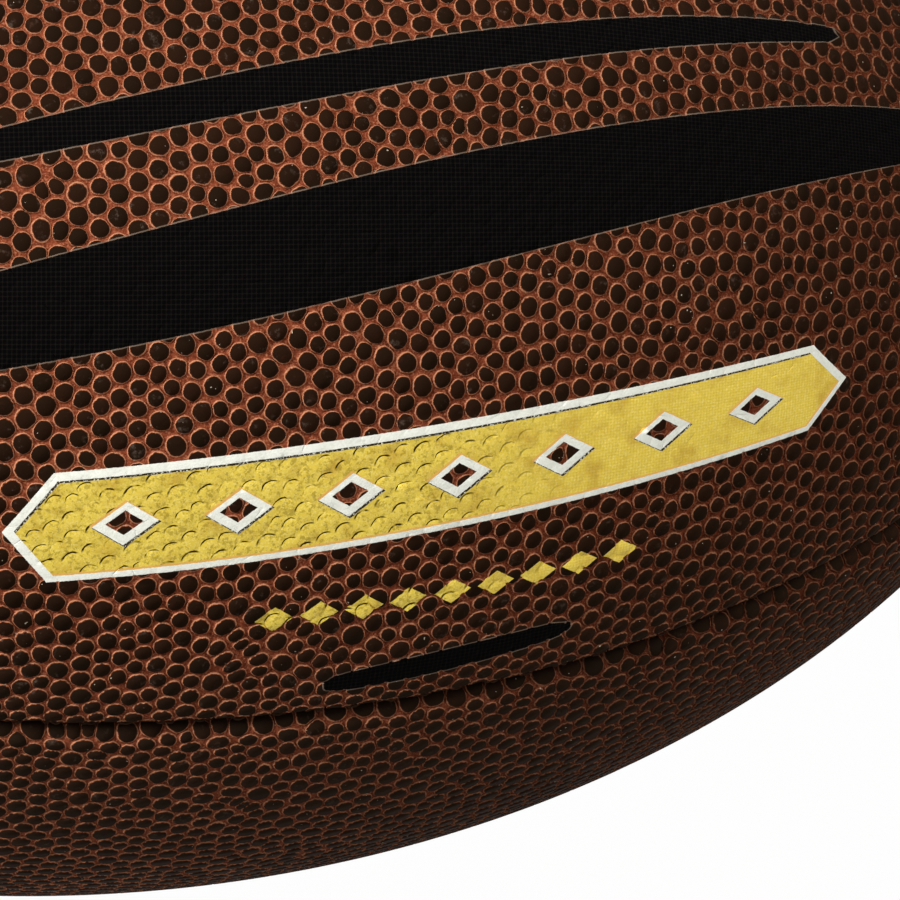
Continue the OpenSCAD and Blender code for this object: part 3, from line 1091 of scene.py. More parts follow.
            sides += [np.stack([b0, a0, a1], 1), np.stack([b0, a1, b1], 1)]
        sides = np.concatenate(sides)
        inner_start = size + 2 * n
        all_tris = np.concatenate([tris, sides, inner_tris[:, ::-1] + inner_start])
        extra = len(all_points) - size
        more = {}
        for key, value in values.items():
            spare = np.zeros((extra, *value.shape[1:]))
            if key == "sheet":
                spare[: 2 * n] = np.tile(value[ids], (2, 1))
                spare[2 * n :, 0] = arc_of(station_at_flat(flat[:, 0])) / MM
                spare[2 * n :, 1] = flat[:, 1] * self.print_r
            else:
                spare[:] = NO_INK
            more[key] = np.concatenate([value, spare])
        more["raw"] = np.concatenate([np.zeros(size), np.ones(extra)])
        data = MeshData(all_points, all_tris, more)
        data.flat_map = self._flat_map(data, len(tris), len(sides))
        return data

    def _inner_points(self, sheet: PanelSheet, pebbles: PebbleField) -> list[Array]:
        """Places of the inside's own points: even rows, then rows at the rolled edges."""
        points = []
        top = arc_of(pebbles.end)
        for arc in np.arange(-top + self.inner_pitch, top, self.inner_pitch):
            t = station_at_arc(arc)
            half = float(sheet.half_width(t)) - 2 * EDGE.roll_r
            count = int(2 * half / self.inner_pitch)
            if half < 2 * EDGE.roll_r or count < 1:
                continue
            w = ((np.arange(count) + 0.5) / count * 2 - 1) * half
            row = np.stack([np.full(count, flat_of(t)), w / BALL.radius(t)], 1)
            for hu, hp, radius, _ in pebbles.spots:
                far = np.hypot(row[:, 0] - hu, row[:, 1] - hp)
                row = row[far > radius * self.inner_clear]
            points.append(row)
        t = np.linspace(-pebbles.end, pebbles.end, self.roll_points)[2:-2]
        half, r = sheet.half_width(t), BALL.radius(t)
        for share in self.roll_rows:
            w = half - share * QUARTER * EDGE.roll_r * np.minimum(1, r / EDGE.trim_r)
            for side in (1, -1):
                points.append(np.stack([flat_of(t), side * w / r], 1))
        return points

    def _inside(
        self, sheet: PanelSheet, pebbles: PebbleField, edge: Array, rim: Array
    ) -> tuple[Array, Array]:
        """Plain triangles over the sheet's inside that share the outside's edge points.

        Args:
            sheet: The panel's sheet.
            pebbles: Field with the places of the holes.
            edge: Places of the edge points.
            rim: Edges between them, by the numbers of the edge points.

        Returns:
            Plane places, the edge points first, and the triangles.
        """
        flat = np.concatenate([edge, *self._inner_points(sheet, pebbles)])
        found = delaunay_2d_cdt(
            [Vector(x) for x in flat], [tuple(int(i) for i in e) for e in rim], [], 1, 1e-9, True
        )
        if len(found[0]) != len(flat):
            LOG.warning("%s: the inside has %d more points", self.name, len(found[0]) - len(flat))
        came = np.array([o[0] if o else -1 for o in found[3]])
        tris = came[np.array([f for f in found[2] if len(f) == 3])]
        a, b, c = (flat[tris[:, i]] for i in range(3))
        turned = turn_from(b - a, c - a) < 0
        tris[turned] = tris[turned][:, ::-1]
        # A triangle between edge points alone is kept if it lies on the sheet's side of an edge
        edges = triangle_edges(tris)
        wanted = edge_codes(rim, len(flat))
        ahead = np.isin(edge_codes(edges, len(flat)), wanted).any(0)
        behind = np.isin(edge_codes(edges[..., ::-1], len(flat)), wanted).any(0)
        middle = flat[tris].mean(1)
        between = (tris < len(edge)).all(1)
        past = np.abs(middle[:, 1]) > sheet.reach(middle[:, 0])
        outside = ~ahead & (behind | between & past)
        for hu, hp, radius, _ in pebbles.spots:
            outside |= between & (np.hypot(middle[:, 0] - hu, middle[:, 1] - hp) < radius)
        return flat, tris[~outside]

    def _flat_map(self, data: MeshData, outside: int, sides: int) -> Array:
        """Places on the texture map: the outside below, the inside above, lips between."""
        place = data.values["sheet"][data.tris]
        share = (place[..., 0] / place[..., 0].max() + 1) / 2
        along = self.map_margin + (1 - 2 * self.map_margin) * share
        half = QUARTER / 2 * self.map_spread * BALL.half_d
        radius = BALL.radius(station_at_arc(place[..., 0] * MM))
        across = (place[..., 1] / self.print_r * radius / half + 1) / 2
        # The lips have no width on the sheet, so their points are spread over seven lines
        shares = (across, data.tris % 7 / 7, across)
        low, middle, high = (
            start + width * part for (start, width), part in zip(self.map_strips, shares)
        )
        face = np.arange(len(data.tris))[:, None]
        v = np.where(face < outside, low, np.where(face < outside + sides, middle, high))
        return np.stack([along, v.clip(0.002, 0.998)], -1)


# Threads and lace


def tube_triangles(tubes: int, rings: int, sides: int) -> Array:
    """Triangles of closed tubes whose points run tube by tube and ring by ring."""
    j = np.arange(sides)
    start = np.arange(rings - 1)[:, None] * sides
    a, b = start + j, start + (j + 1) % sides
    wall = np.concatenate(
        [
            np.stack([a, b, b + sides], -1).reshape(-1, 3),
            np.stack([a, b + sides, a + sides], -1).reshape(-1, 3),
        ]
    )
    i = np.arange(1, sides - 1)
    last = (rings - 1) * sides
    near = np.stack([np.zeros_like(i), i + 1, i], 1)
    far = np.stack([np.zeros_like(i), i, i + 1], 1) + last
    one = np.concatenate([wall, near, far])
    shift = np.arange(tubes)[:, None, None] * rings * sides
    return (one[None] + shift).reshape(-1, 3)


@dataclass
class SeamThread:
    """The stitches of one seam: short runs of twisted thread that dive into the crease."""

    name: str
    node: str
    seam: Seam
    rings: int = 13
    sides: int = 6
    plies: int = 2
    twist: float = 2.2 * math.pi
    dive: float = 0.9 * MM
    ply_share: float = 0.56
    slack: float = 0.05 * MM
    # Shortest stitch as a share of the longest, how late it dives, and how its ends taper
    shortest: float = 0.86
    dive_power: int = 5
    taper: float = 0.75
    taper_power: int = 8
    draw_seed: int = 70
    # How much deeper than the solids' the thread is drawn into the crease
    sink: float = 0.4 * MM

    def build(self) -> Piece:
        """Builds the stitches and puts them in the place of their solids."""
        line = SEAMS[self.seam]
        draw = np.random.default_rng(self.draw_seed + self.seam.value)
        n = len(line.stations)
        along = np.linspace(-1, 1, self.rings)
        length = EDGE.stitch_l * draw.uniform(self.shortest, 1, n)
        arc = line.arcs[:, None] + along * length[:, None] / 2
        t = station_at_arc(arc)
        depth = EDGE.thread_depth + self.sink + self.dive * np.abs(along) ** self.dive_power
        depth = depth + draw.uniform(-1, 1, n)[:, None] * self.slack
        turn = self.seam.turn + line.wander(arc) / BALL.radius(t)
        centre = BALL.place(t, turn, -depth)
        nx, nr = BALL.normal(t)
        out = np.stack([nx, nr * np.sin(turn), nr * np.cos(turn)], -1)
        aside = np.stack([np.zeros_like(turn), np.cos(turn), -np.sin(turn)], -1)
        radius = EDGE.thread_d / 2
        thin = radius * self.ply_share
        ends = np.sqrt(1 - self.taper * np.abs(along) ** self.taper_power)
        tubes = []
        around = even_turns(self.sides)
        for ply in range(self.plies):
            phase = TURN * ply / self.plies + along * self.twist / 2
            phase = phase + draw.uniform(0, math.pi, n)[:, None]
            offset = radius - thin
            middle = centre + offset * between(aside, out, phase)
            ring = between(aside[:, :, None], out[:, :, None], around)
            tubes.append(middle[:, :, None] + ring * thin * ends[:, None, None])
        points = np.stack(tubes, 1).reshape(-1, 3)
        tris = tube_triangles(n * self.plies, self.rings, self.sides)
        tone = np.repeat(draw.uniform(0, 1, n), self.plies * self.rings * self.sides)
        run = np.tile(
            np.repeat(np.linspace(0, EDGE.stitch_l / MM, self.rings), self.sides), n * self.plies
        )
        made = MeshData(points, facing_out(points, tris), {"tone": tone, "run": run}).to_object(
            self.name
        )
        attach(made, BODY)
        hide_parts(self.node)
        LOG.info("%s: %d stitches", self.name, n)
        return made


def between(a: Array, b: Array, angle: Array) -> Array:
    """Directions at angles from direction a towards direction b, which is square to it."""
    return np.cos(angle)[..., None] * a + np.sin(angle)[..., None] * b


def facing_out(points: Array, tris: Array) -> Array:
    """The triangles, turned over if together they enclose a negative volume."""
    a, b, c = (points[tris[:, i]] for i in range(3))
    volume = (a * np.cross(b, c)).sum()
    return tris if volume > 0 else tris[:, ::-1]


def smooth_between(knots: Array, values: Array, at: Array) -> Array:
    """Smooth curve through values at knots that never swings past them, read at other places."""
    step = np.diff(knots)[:, None]
    slope = np.diff(values, axis=0) / step
    before, after = slope[:-1], slope[1:]
    same = before * after > 0
    w1, w2 = 2 * step[1:] + step[:-1], step[1:] + 2 * step[:-1]
    with np.errstate(divide="ignore", invalid="ignore"):
        inner = np.where(same, (w1 + w2) / (w1 / before + w2 / after), 0)
    grade = np.concatenate([slope[:1], inner, slope[-1:]])
    i = np.searchsorted(knots, at, side="right").clip(1, len(knots) - 1) - 1
    h = step[i]
    x = ((at - knots[i]) / h[:, 0])[:, None]
    return (
        values[i] * (1 + 2 * x) * (1 - x) ** 2
        + grade[i] * h * x * (1 - x) ** 2
        + values[i + 1] * x * x * (3 - 2 * x)
        + grade[i + 1] * h * x * x * (x - 1)
    )


@dataclass
class Lace:
    """The lace: one flat band that crosses the seam, dives at its end and runs back over it."""

    name: str = "lace_band"
    node: str = "lace"
    step: float = 0.75 * MM
    sides: int = 24
    rounding: float = 2.0
    squareness: float = 3.4
    rib: float = 0.07
    # Thickness in a hole, width where it is tucked in and height over a hole's edge, as shares
    turned_t: float = 0.7
    tucked_w: float = 0.85
    over_edge: float = 1.15
    # Stops between a row of holes and the seam, as shares of the distance: below the facings,
    # over the hole's edge, then down on the cover and up on the run along the seam
    inner_at: float = 0.8
    over_at: float = 0.94
    outer_at: tuple[float, ...] = (0.8, 0.52, 0.3, 0.14)

    def route(self) -> Array:
        """Stops of the solid's route.

        Returns:
            Rows of place along, place round the ball, height, half width, half thickness and
            the width's direction along and across.
        """
        form = LACING
        half_w, half_t = form.lace_w / 2, form.lace_t / 2
        row, pitch, low, facing = form.row_gap / 2, form.cross_pitch, -form.low, form.facing_low
        hole_r = form.hole_d / 2 - form.gap
        turn_t, side_h = hole_r * self.turned_t, form.gap + half_t
        cross_h = side_h + form.lace_t + form.gap
        wide = half_w * self.tucked_w
        along, across = (1.0, 0.0), (0.0, 1.0)
        down, near, up, crossed = self.outer_at

        def climb(x: float, side: int) -> list[tuple]:
            """From the inside up through a hole and over to the seam."""
            y = side * row
            return [
                (x - side * 0.1 * pitch, y * self.inner_at, low, wide, half_t, *along),
                (x, y, low, hole_r, turn_t, *along),
                (x, y, -facing + half_t, hole_r, hole_r, *along),
                (x, y, -half_t, hole_r, hole_r, *along),
                (x, y * self.over_at, side_h * self.over_edge, hole_r, turn_t, *along),
                (x, y * down, side_h, wide, half_t, *along),
                (x, y * near, side_h, half_w, half_t, *along),
                (x, y * up, (side_h + cross_h) / 2 + half_t / 4, half_w, half_t, *along),
                (x, y * crossed, cross_h, half_w, half_t, *along),
            ]

        def dive(side: int) -> list[tuple]:
            """From the long run down through the hole on the seam."""
            end = form.run_end
            return [
                (side * (end - hole_r), 0, side_h * self.over_edge, hole_r, turn_t, *across),
                (side * end, 0, -half_t, hole_r, hole_r, *across),
                (side * end, 0, -facing + half_t, hole_r, hole_r, *across),
                (side * end, 0, low, hole_r, turn_t, *across),
            ]

        stops = [(-form.cross_end - 0.3 * pitch, row * 0.4, low, wide, half_t, *along)]
        for i in range(form.crosses):
            x = -form.cross_end + i * pitch
            stops += climb(x, 1) + climb(x, -1)[::-1]
            if i < form.crosses - 1:
                stops.append((x + pitch / 2, 0, low, wide, half_t, *along))
        middle = (form.cross_end + form.run_end) / 2
        stops.append((middle, -row / 2, low, wide, half_t, *across))
        stops += dive(1)[::-1]
        stops += [
            (form.cross_end - (i - 0.5) * pitch, 0, side_h, half_w, half_t, *across)
            for i in range(form.crosses + 1)
        ]
        stops += dive(-1)
        tail = form.run_end + form.end_run
        stops += [
            (-(form.run_end + tail) / 2, 0, low, wide, half_t, *across),
            (-tail, 0, low, half_w, half_t, *across),
        ]
        return np.array(stops, float)

    def build(self) -> Piece:
        """Builds the lace and puts it in the place of its solid."""
        stops = self.route()
        t = np.arcsin(stops[:, 0] / BALL.half_l)
        middle = BALL.place(t, stops[:, 1] / BALL.radius(t), stops[:, 2])
        knots = np.r_[0, np.cumsum(np.linalg.norm(np.diff(middle, axis=0), axis=1))]
        at = np.linspace(0, knots[-1], int(knots[-1] / self.step) + 1)
        x, y, h, half_w, half_t, dx, dy = smooth_between(knots, stops, at).T
        t = np.arcsin(x / BALL.half_l)
        centre = BALL.place(t, y / BALL.radius(t), h)
        way = np.gradient(centre, axis=0)
        way /= np.linalg.norm(way, axis=1)[:, None]
        wide = np.stack([dx, dy, np.zeros_like(dx)], 1)
        wide -= (wide * way).sum(1)[:, None] * way
        wide /= np.linalg.norm(wide, axis=1)[:, None]
        deep = np.cross(way, wide)
        flat = ((half_w / half_t - 1) / 2).clip(0, 1)
        power = 2 / (self.rounding + (self.squareness - self.rounding) * flat)
        angle = even_turns(self.sides, 0.5)
        ca, sa = np.cos(angle), np.sin(angle)
        px = np.sign(ca) * np.abs(ca) ** power[:, None]
        py = np.sign(sa) * np.abs(sa) ** power[:, None]
        # The flat faces sink a little between the lace's firmer edges
        py = py * (1 - self.rib * flat[:, None] * (1 - px**2) ** 2)
        points = (
            centre[:, None]
            + wide[:, None] * (half_w[:, None] * px)[..., None]
            + deep[:, None] * (half_t[:, None] * py)[..., None]
        ).reshape(-1, 3)
        tris = facing_out(points, tube_triangles(1, len(at), self.sides))
        place = np.stack(
            [
                np.repeat(at / MM, self.sides), (px * half_w[:, None] / MM).ravel(),
                (py * half_t[:, None] / MM).ravel(),
            ],
            1,
        )
        made = MeshData(points, tris, {"weave": place}).to_object(self.name)
        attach(made, BODY)
        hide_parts(self.node)
        LOG.info("%s: %.0f mm of lace, %d faces", self.name, knots[-1] / MM, len(tris))
        return made


# Finishes


def colour(code: str) -> tuple[float, float, float, float]:
    """Linear colour of a hex code that says how it is seen on a screen."""
    parts = [int(code[i : i + 2], 16) / 255 for i in (1, 3, 5)]
    linear = [c / 12.92 if c <= 0.04045 else ((c + 0.055) / 1.055) ** 2.4 for c in parts]
    return (*linear, 1.0)


class Graph:
    """Adds nodes to a tree, each with its inputs set or linked in the same call."""

    def __init__(self, tree: Tree) -> None:
        self.tree = tree

    def add(self, kind: str, inputs: dict | None = None, **settings) -> bpy.types.Node:
        """Adds a node.

        Args:
            kind: Blender's name for the node, without "ShaderNode".
            inputs: Values by input name or number.
            settings: Values of the node's own properties.

        Returns:
            The node.
        """
        node = self.tree.nodes.new("ShaderNode" + kind)
        for key, value in settings.items():
            setattr(node, key, value)
        for key, value in (inputs or {}).items():
            if isinstance(value, Socket):
                self.tree.links.new(value, node.inputs[key])
            else:
                node.inputs[key].default_value = colour(value) if isinstance(value, str) else value
        return node

    def math(self, operation: str, *values: Value, clamp: bool = False) -> Socket:
        """Result of a Math node."""
        inputs = dict(enumerate(values))
        return self.add("Math", inputs, operation=operation, use_clamp=clamp).outputs[0]

    def times(self, a: Value, b: Value) -> Socket:
        """Product of two numbers."""
        return self.math("MULTIPLY", a, b)

    def plus(self, a: Value, b: Value) -> Socket:
        """Sum of two numbers."""
        return self.math("ADD", a, b)

    def minus(self, a: Value, b: Value) -> Socket:
        """What b leaves of a."""
        return self.math("SUBTRACT", a, b)

    def step(self, value: Value, low: float, high: float) -> Socket:
        """A smooth step from 0 at low to 1 at high."""
        inputs = {"Value": value, "From Min": low, "From Max": high}
        return self.add("MapRange", inputs, interpolation_type="SMOOTHSTEP").outputs[0]

    def scaled(self, value: Value, low: float, high: float) -> Socket:
        """A value from 0 to 1 spread between low and high."""
        return self.add("MapRange", {"Value": value, "To Min": low, "To Max": high}).outputs[0]

    def mix(self, share: Value, a: Value, b: Value, blend: str = "MIX") -> Socket:
        """Colour between a and b."""
        node = self.add("Mix", {0: share, 6: a, 7: b}, data_type="RGBA", blend_type=blend)
        return node.outputs[2]

    def blend(self, share: Value, a: Value, b: Value) -> Socket:
        """Number between a and b."""
        return self.add("Mix", {0: share, 2: a, 3: b}, data_type="FLOAT").outputs[0]

    def noise(self, place: Socket, scale: float, detail: float = 2, rough: float = 0.5) -> Socket:
        """Noise from 0 to 1 over a place."""
        inputs = {"Vector": place, "Scale": scale, "Detail": detail, "Roughness": rough}
        return self.add("TexNoise", inputs).outputs[0]

    def number(self, name: str) -> Socket:
        """A number held at the mesh's points."""
        return self.add("Attribute", attribute_name=name).outputs["Fac"]

    def vector(self, name: str) -> Socket:
        """Three numbers held at the mesh's points."""
        return self.add("Attribute", attribute_name=name).outputs["Vector"]

    def place(self) -> Socket:
        """The point's place in the object's own space."""
        return self.add("TexCoord").outputs["Object"]

    def parts(self, vector: Socket) -> tuple[Socket, Socket, Socket]:
        """The three numbers of a vector."""
        return tuple(self.add("SeparateXYZ", {0: vector}).outputs)

    def far(self, vector: Socket) -> Socket:
        """Length of a vector without its third number."""
        x, y, _ = self.parts(vector)
        flat = self.add("CombineXYZ", {0: x, 1: y}).outputs[0]
        return self.add("VectorMath", {0: flat}, operation="LENGTH").outputs["Value"]

    def rest(self, share: Value) -> Socket:
        """What a share leaves of 1."""
        return self.minus(1.0, share)

    def print_place(self, middle: tuple, rise: float, shift: tuple = (0, 0)) -> Socket:
        """Place on a printed row: along it and across it from its middle, in millimetres."""
        x, y, _ = self.parts(self.vector("sheet"))
        x = self.minus(x, middle[0] + shift[0])
        y = self.minus(y, middle[1] + shift[1])
        y = self.math("MULTIPLY_ADD", x, -rise, y)
        return self.add("CombineXYZ", {0: x, 1: y}).outputs[0]

    def seen_rays(self) -> Socket:
        """1 for rays by which the background is seen: straight, in gloss or through glass."""
        path = self.add("LightPath").outputs
        straight = self.math("MAXIMUM", path["Is Camera Ray"], path["Is Transmission Ray"])
        return self.math("MAXIMUM", straight, path["Is Glossy Ray"])

    def group(self, tree: Tree, inputs: dict[str, Value]) -> bpy.types.Node:
        """Adds a node group."""
        return self.add("Group", inputs, node_tree=tree)


class EffectGroup:
    """A shader node group in the making, with the kinds of its inputs and outputs by name."""

    def __init__(self, name: str, inputs: dict[str, str], outputs: dict[str, str]) -> None:
        self.tree = bpy.data.node_groups.new(name, "ShaderNodeTree")
        for side, sockets in (("INPUT", inputs), ("OUTPUT", outputs)):
            for label, kind in sockets.items():
                self.tree.interface.new_socket(label, in_out=side, socket_type="NodeSocket" + kind)
        self.graph = Graph(self.tree)
        self.given = self.tree.nodes.new("NodeGroupInput").outputs
        self.result = self.tree.nodes.new("NodeGroupOutput").inputs

    def finish(self, **results: Socket) -> Tree:
        """Links the results, by output name, and returns the group."""
        for key, socket in results.items():
            self.tree.links.new(socket, self.result[key.replace("_", " ")])
        return self.tree


# Colours of the scuffs on the tops, partly dust and partly a painted sheen, of a painted sheen low
# on the ball, and of its pale specks
SCUFF_AND_SHEEN, PAINTED_SHEEN, SPECK = "#73695e", "#42382f", "#c8b8a2"


def pebble_effect() -> Tree:
    """Pebbled leather: dark tops, light rims round them, partly a painted highlight, and rust
    valleys, with fine grain.

    A disc value of 1 is a top's edge. Other distances are in metres on the ball.

    Returns:
        The group. Its mask is 1 on the tops.
    """
    made = EffectGroup(
        "pebbled_leather",
        {"Place": "Vector", "Disc": "Vector", "Top": "Color", "Rim": "Color", "Valley": "Color"},
        {"Color": "Color", "Roughness": "Float", "Height": "Float", "Top Mask": "Float"},
    )
    g, given = made.graph, made.given
    place, top, rust = given["Place"], given["Top"], given["Valley"]
    fine = g.noise(place, 3800, 2, 0.6)
    fibre = g.noise(place, 1300, 4, 0.72)
    broad = g.noise(place, 14, 2)
    # Distance from the pebble's middle, ragged, with tops that are larger in some regions
    ragged = g.times(g.minus(fibre, 0.5), 0.2)
    far = g.plus(g.far(given["Disc"]), ragged)
    far = g.plus(far, g.scaled(broad, -0.09, 0.13))
    off_top = g.step(far, 0.92, 1.05)
    # A light band round each top, partly a painted highlight of light glinting on the flanks
    rim = g.times(g.step(far, 0.99, 1.04), g.rest(g.step(far, 1.045, 1.125)))
    # Valleys: dark and pale fibres, and a light rim along their edges, partly a painted highlight
    # of light glinting on the pebbles' flanks
    dark = g.mix(0.6, rust, (0, 0, 0, 1))
    low = g.mix(g.step(g.plus(fibre, fine), 0.72, 1.12), dark, rust)
    low = g.mix(g.step(fine, 0.52, 0.72), low, g.mix(0.3, rust, given["Rim"]))
    low = g.mix(g.times(rim, g.scaled(fibre, 0.15, 0.95)), low, given["Rim"])
    # How far a place is from the ball's middle along it, and how far below its side seam
    x, _, z = g.parts(place)
    along = g.math("ABSOLUTE", g.plus(x, 0.03))
    away = g.step(g.math("MULTIPLY_ADD", z, -0.25, along), 0.0, 0.16)
    below = g.step(g.times(z, -1.0), -0.03, 0.02)
    # Tops: each in its own tone, with streaks and, near the middle, grey scuffs that are partly
    # dust and partly a painted sheen
    high = g.mix(g.scaled(g.parts(given["Disc"])[2], 0.0, 0.035), top, rust)
    streak = g.step(g.noise(place, 620, 5, 0.78), 0.56, 0.72)
    high = g.mix(g.times(streak, 0.08), high, rust)
    scuff_and_sheen = g.step(g.noise(place, 170, 2), 0.44, 0.58)
    scuff_and_sheen = g.times(scuff_and_sheen, g.scaled(away, 0.36, 0.06))
    high = g.mix(g.times(streak, scuff_and_sheen), high, SCUFF_AND_SHEEN)
    # Painted light and shade: the valleys are painted brighter near the middle and darker towards
    # the tips, brighter still below the side seam near the middle and darker there near the tips,
    # and the tops a little lighter towards the tips
    lower = g.blend(away, g.scaled(below, 1.0, 1.2), g.scaled(below, 1.0, 0.78))
    net = g.times(g.scaled(away, 1.26, 0.48), lower)
    wear_and_shade = g.blend(off_top, g.scaled(away, 1.0, 1.05), net)
    level = g.times(g.scaled(broad, 0.92, 1.08), wear_and_shade)
    shade = g.add("CombineXYZ", {0: level, 1: level, 2: level}).outputs[0]
    # Painted sheen: below the side seam the colour is drawn a little towards a pale grey, a painted
    # reflection of the pale surroundings at grazing angles
    both = g.mix(g.scaled(below, 0.0, 0.13), g.mix(off_top, high, low), PAINTED_SHEEN)
    both = g.mix(1.0, both, shade, "MULTIPLY")
    speck = g.step(g.noise(place, 2500, 0), 0.87, 0.885)
    both = g.mix(g.times(speck, 0.75), both, SPECK)
    rough = g.blend(off_top, g.scaled(fibre, 0.5, 0.7), 0.62)
    grain = g.plus(g.times(fine, 0.5), g.times(fibre, 0.5))
    grain = g.math("MULTIPLY_ADD", g.step(far, 0.95, 1.2), -2.6, grain)
    return made.finish(Color=both, Roughness=rough, Height=grain, Top_Mask=g.rest(off_top))


def lozenge_row_effect() -> Tree:
    """A row of equal lozenges: distance inside the nearest one's edge, below zero outside it.

    Returns:
        The group.
    """
    made = EffectGroup(
        "lozenge_row",
        {"Place": "Vector", "Pitch": "Float", "Count": "Float", "Half Length": "Float",
         "Half Width": "Float"},
        {"Distance": "Float"},
    )
    g, given = made.graph, made.given
    x, y, _ = g.parts(given["Place"])
    last = g.minus(given["Count"], 1.0)
    half = g.times(last, 0.5)
    index = g.math("ROUND", g.plus(g.math("DIVIDE", x, given["Pitch"]), half))
    index = g.math("MINIMUM", g.math("MAXIMUM", index, 0.0), last)
    at = g.times(g.minus(index, half), given["Pitch"])
    along = g.math("DIVIDE", g.math("ABSOLUTE", g.minus(x, at)), given["Half Length"])
    across = g.math("DIVIDE", g.math("ABSOLUTE", y), given["Half Width"])
    inside = g.rest(g.plus(along, across))
    steep = [g.math("DIVIDE", 1.0, given[size]) for size in ("Half Length", "Half Width")]
    squares = g.plus(*(g.math("POWER", value, 2.0) for value in steep))
    return made.finish(Distance=g.math("DIVIDE", inside, g.math("SQRT", squares)))


def weave_effect() -> Tree:
    """A fine plain weave on a flat place in millimetres: its height, and its threads' mask.

    Returns:
        The group.
    """
    made = EffectGroup(
        "plain_weave", {"Place": "Vector", "Pitch": "Float"}, {"Height": "Float", "Gaps": "Float"},
    )
    g, given = made.graph, made.given
    turns = (g.math("DIVIDE", part, given["Pitch"]) for part in g.parts(given["Place"])[:2])
    waves = (g.math("SINE", g.times(turn, TURN)) for turn in turns)
    product = g.times(*waves)
    height = g.scaled(g.math("MULTIPLY_ADD", product, 0.5, 0.5), 0, 1)
    gaps = g.step(g.math("ABSOLUTE", product), 0.0, 0.35)
    return made.finish(Height=height, Gaps=gaps)


def dust_effect() -> Tree:
    """Faint stains and scuffs over any finish: a broad tone and a fine grain.

    Returns:
        The group.
    """
    made = EffectGroup(
        "fine_wear", {"Place": "Vector", "Scale": "Float"}, {"Tone": "Float", "Grain": "Float"},
    )
    g, given = made.graph, made.given
    near = g.add("VectorMath", {0: given["Place"], "Scale": given["Scale"]}, operation="SCALE")
    tone = g.noise(near.outputs[0], 1.0, 4, 0.6)
    grain = g.noise(near.outputs[0], 14.0, 3, 0.6)
    return made.finish(Tone=tone, Grain=grain)


class Effects:
    """The shared node groups, each built once."""

    def __init__(self) -> None:
        self.pebbles = pebble_effect()
        self.weave = weave_effect()
        self.wear = dust_effect()
        self.lozenges = lozenge_row_effect()


def new_material(name: str) -> tuple[bpy.types.Material, Graph]:
    """An empty node material with its graph."""
    made = bpy.data.materials.new(name)
    made.use_nodes = True
    made.node_tree.nodes.clear()
    return made, Graph(made.node_tree)


@dataclass(frozen=True)
class Finish:
    """What all finishes share: one Principled shader with a fine relief."""

    name: str

    def parts(self, g: Graph, effects: Effects) -> Parts:
        """The shader's inputs by name, the relief's height and its depth in metres."""
        raise NotImplementedError

    def material(self, effects: Effects) -> bpy.types.Material:
        """Builds the material."""
        made, g = new_material(self.name)
        inputs, height, depth = self.parts(g, effects)
        normal = g.add("Bump", {"Height": height, "Distance": depth}).outputs[0]
        shader = g.add("BsdfPrincipled", inputs | {"Normal": normal})
        g.add("OutputMaterial", {"Surface": shader.outputs[0]})
        return made


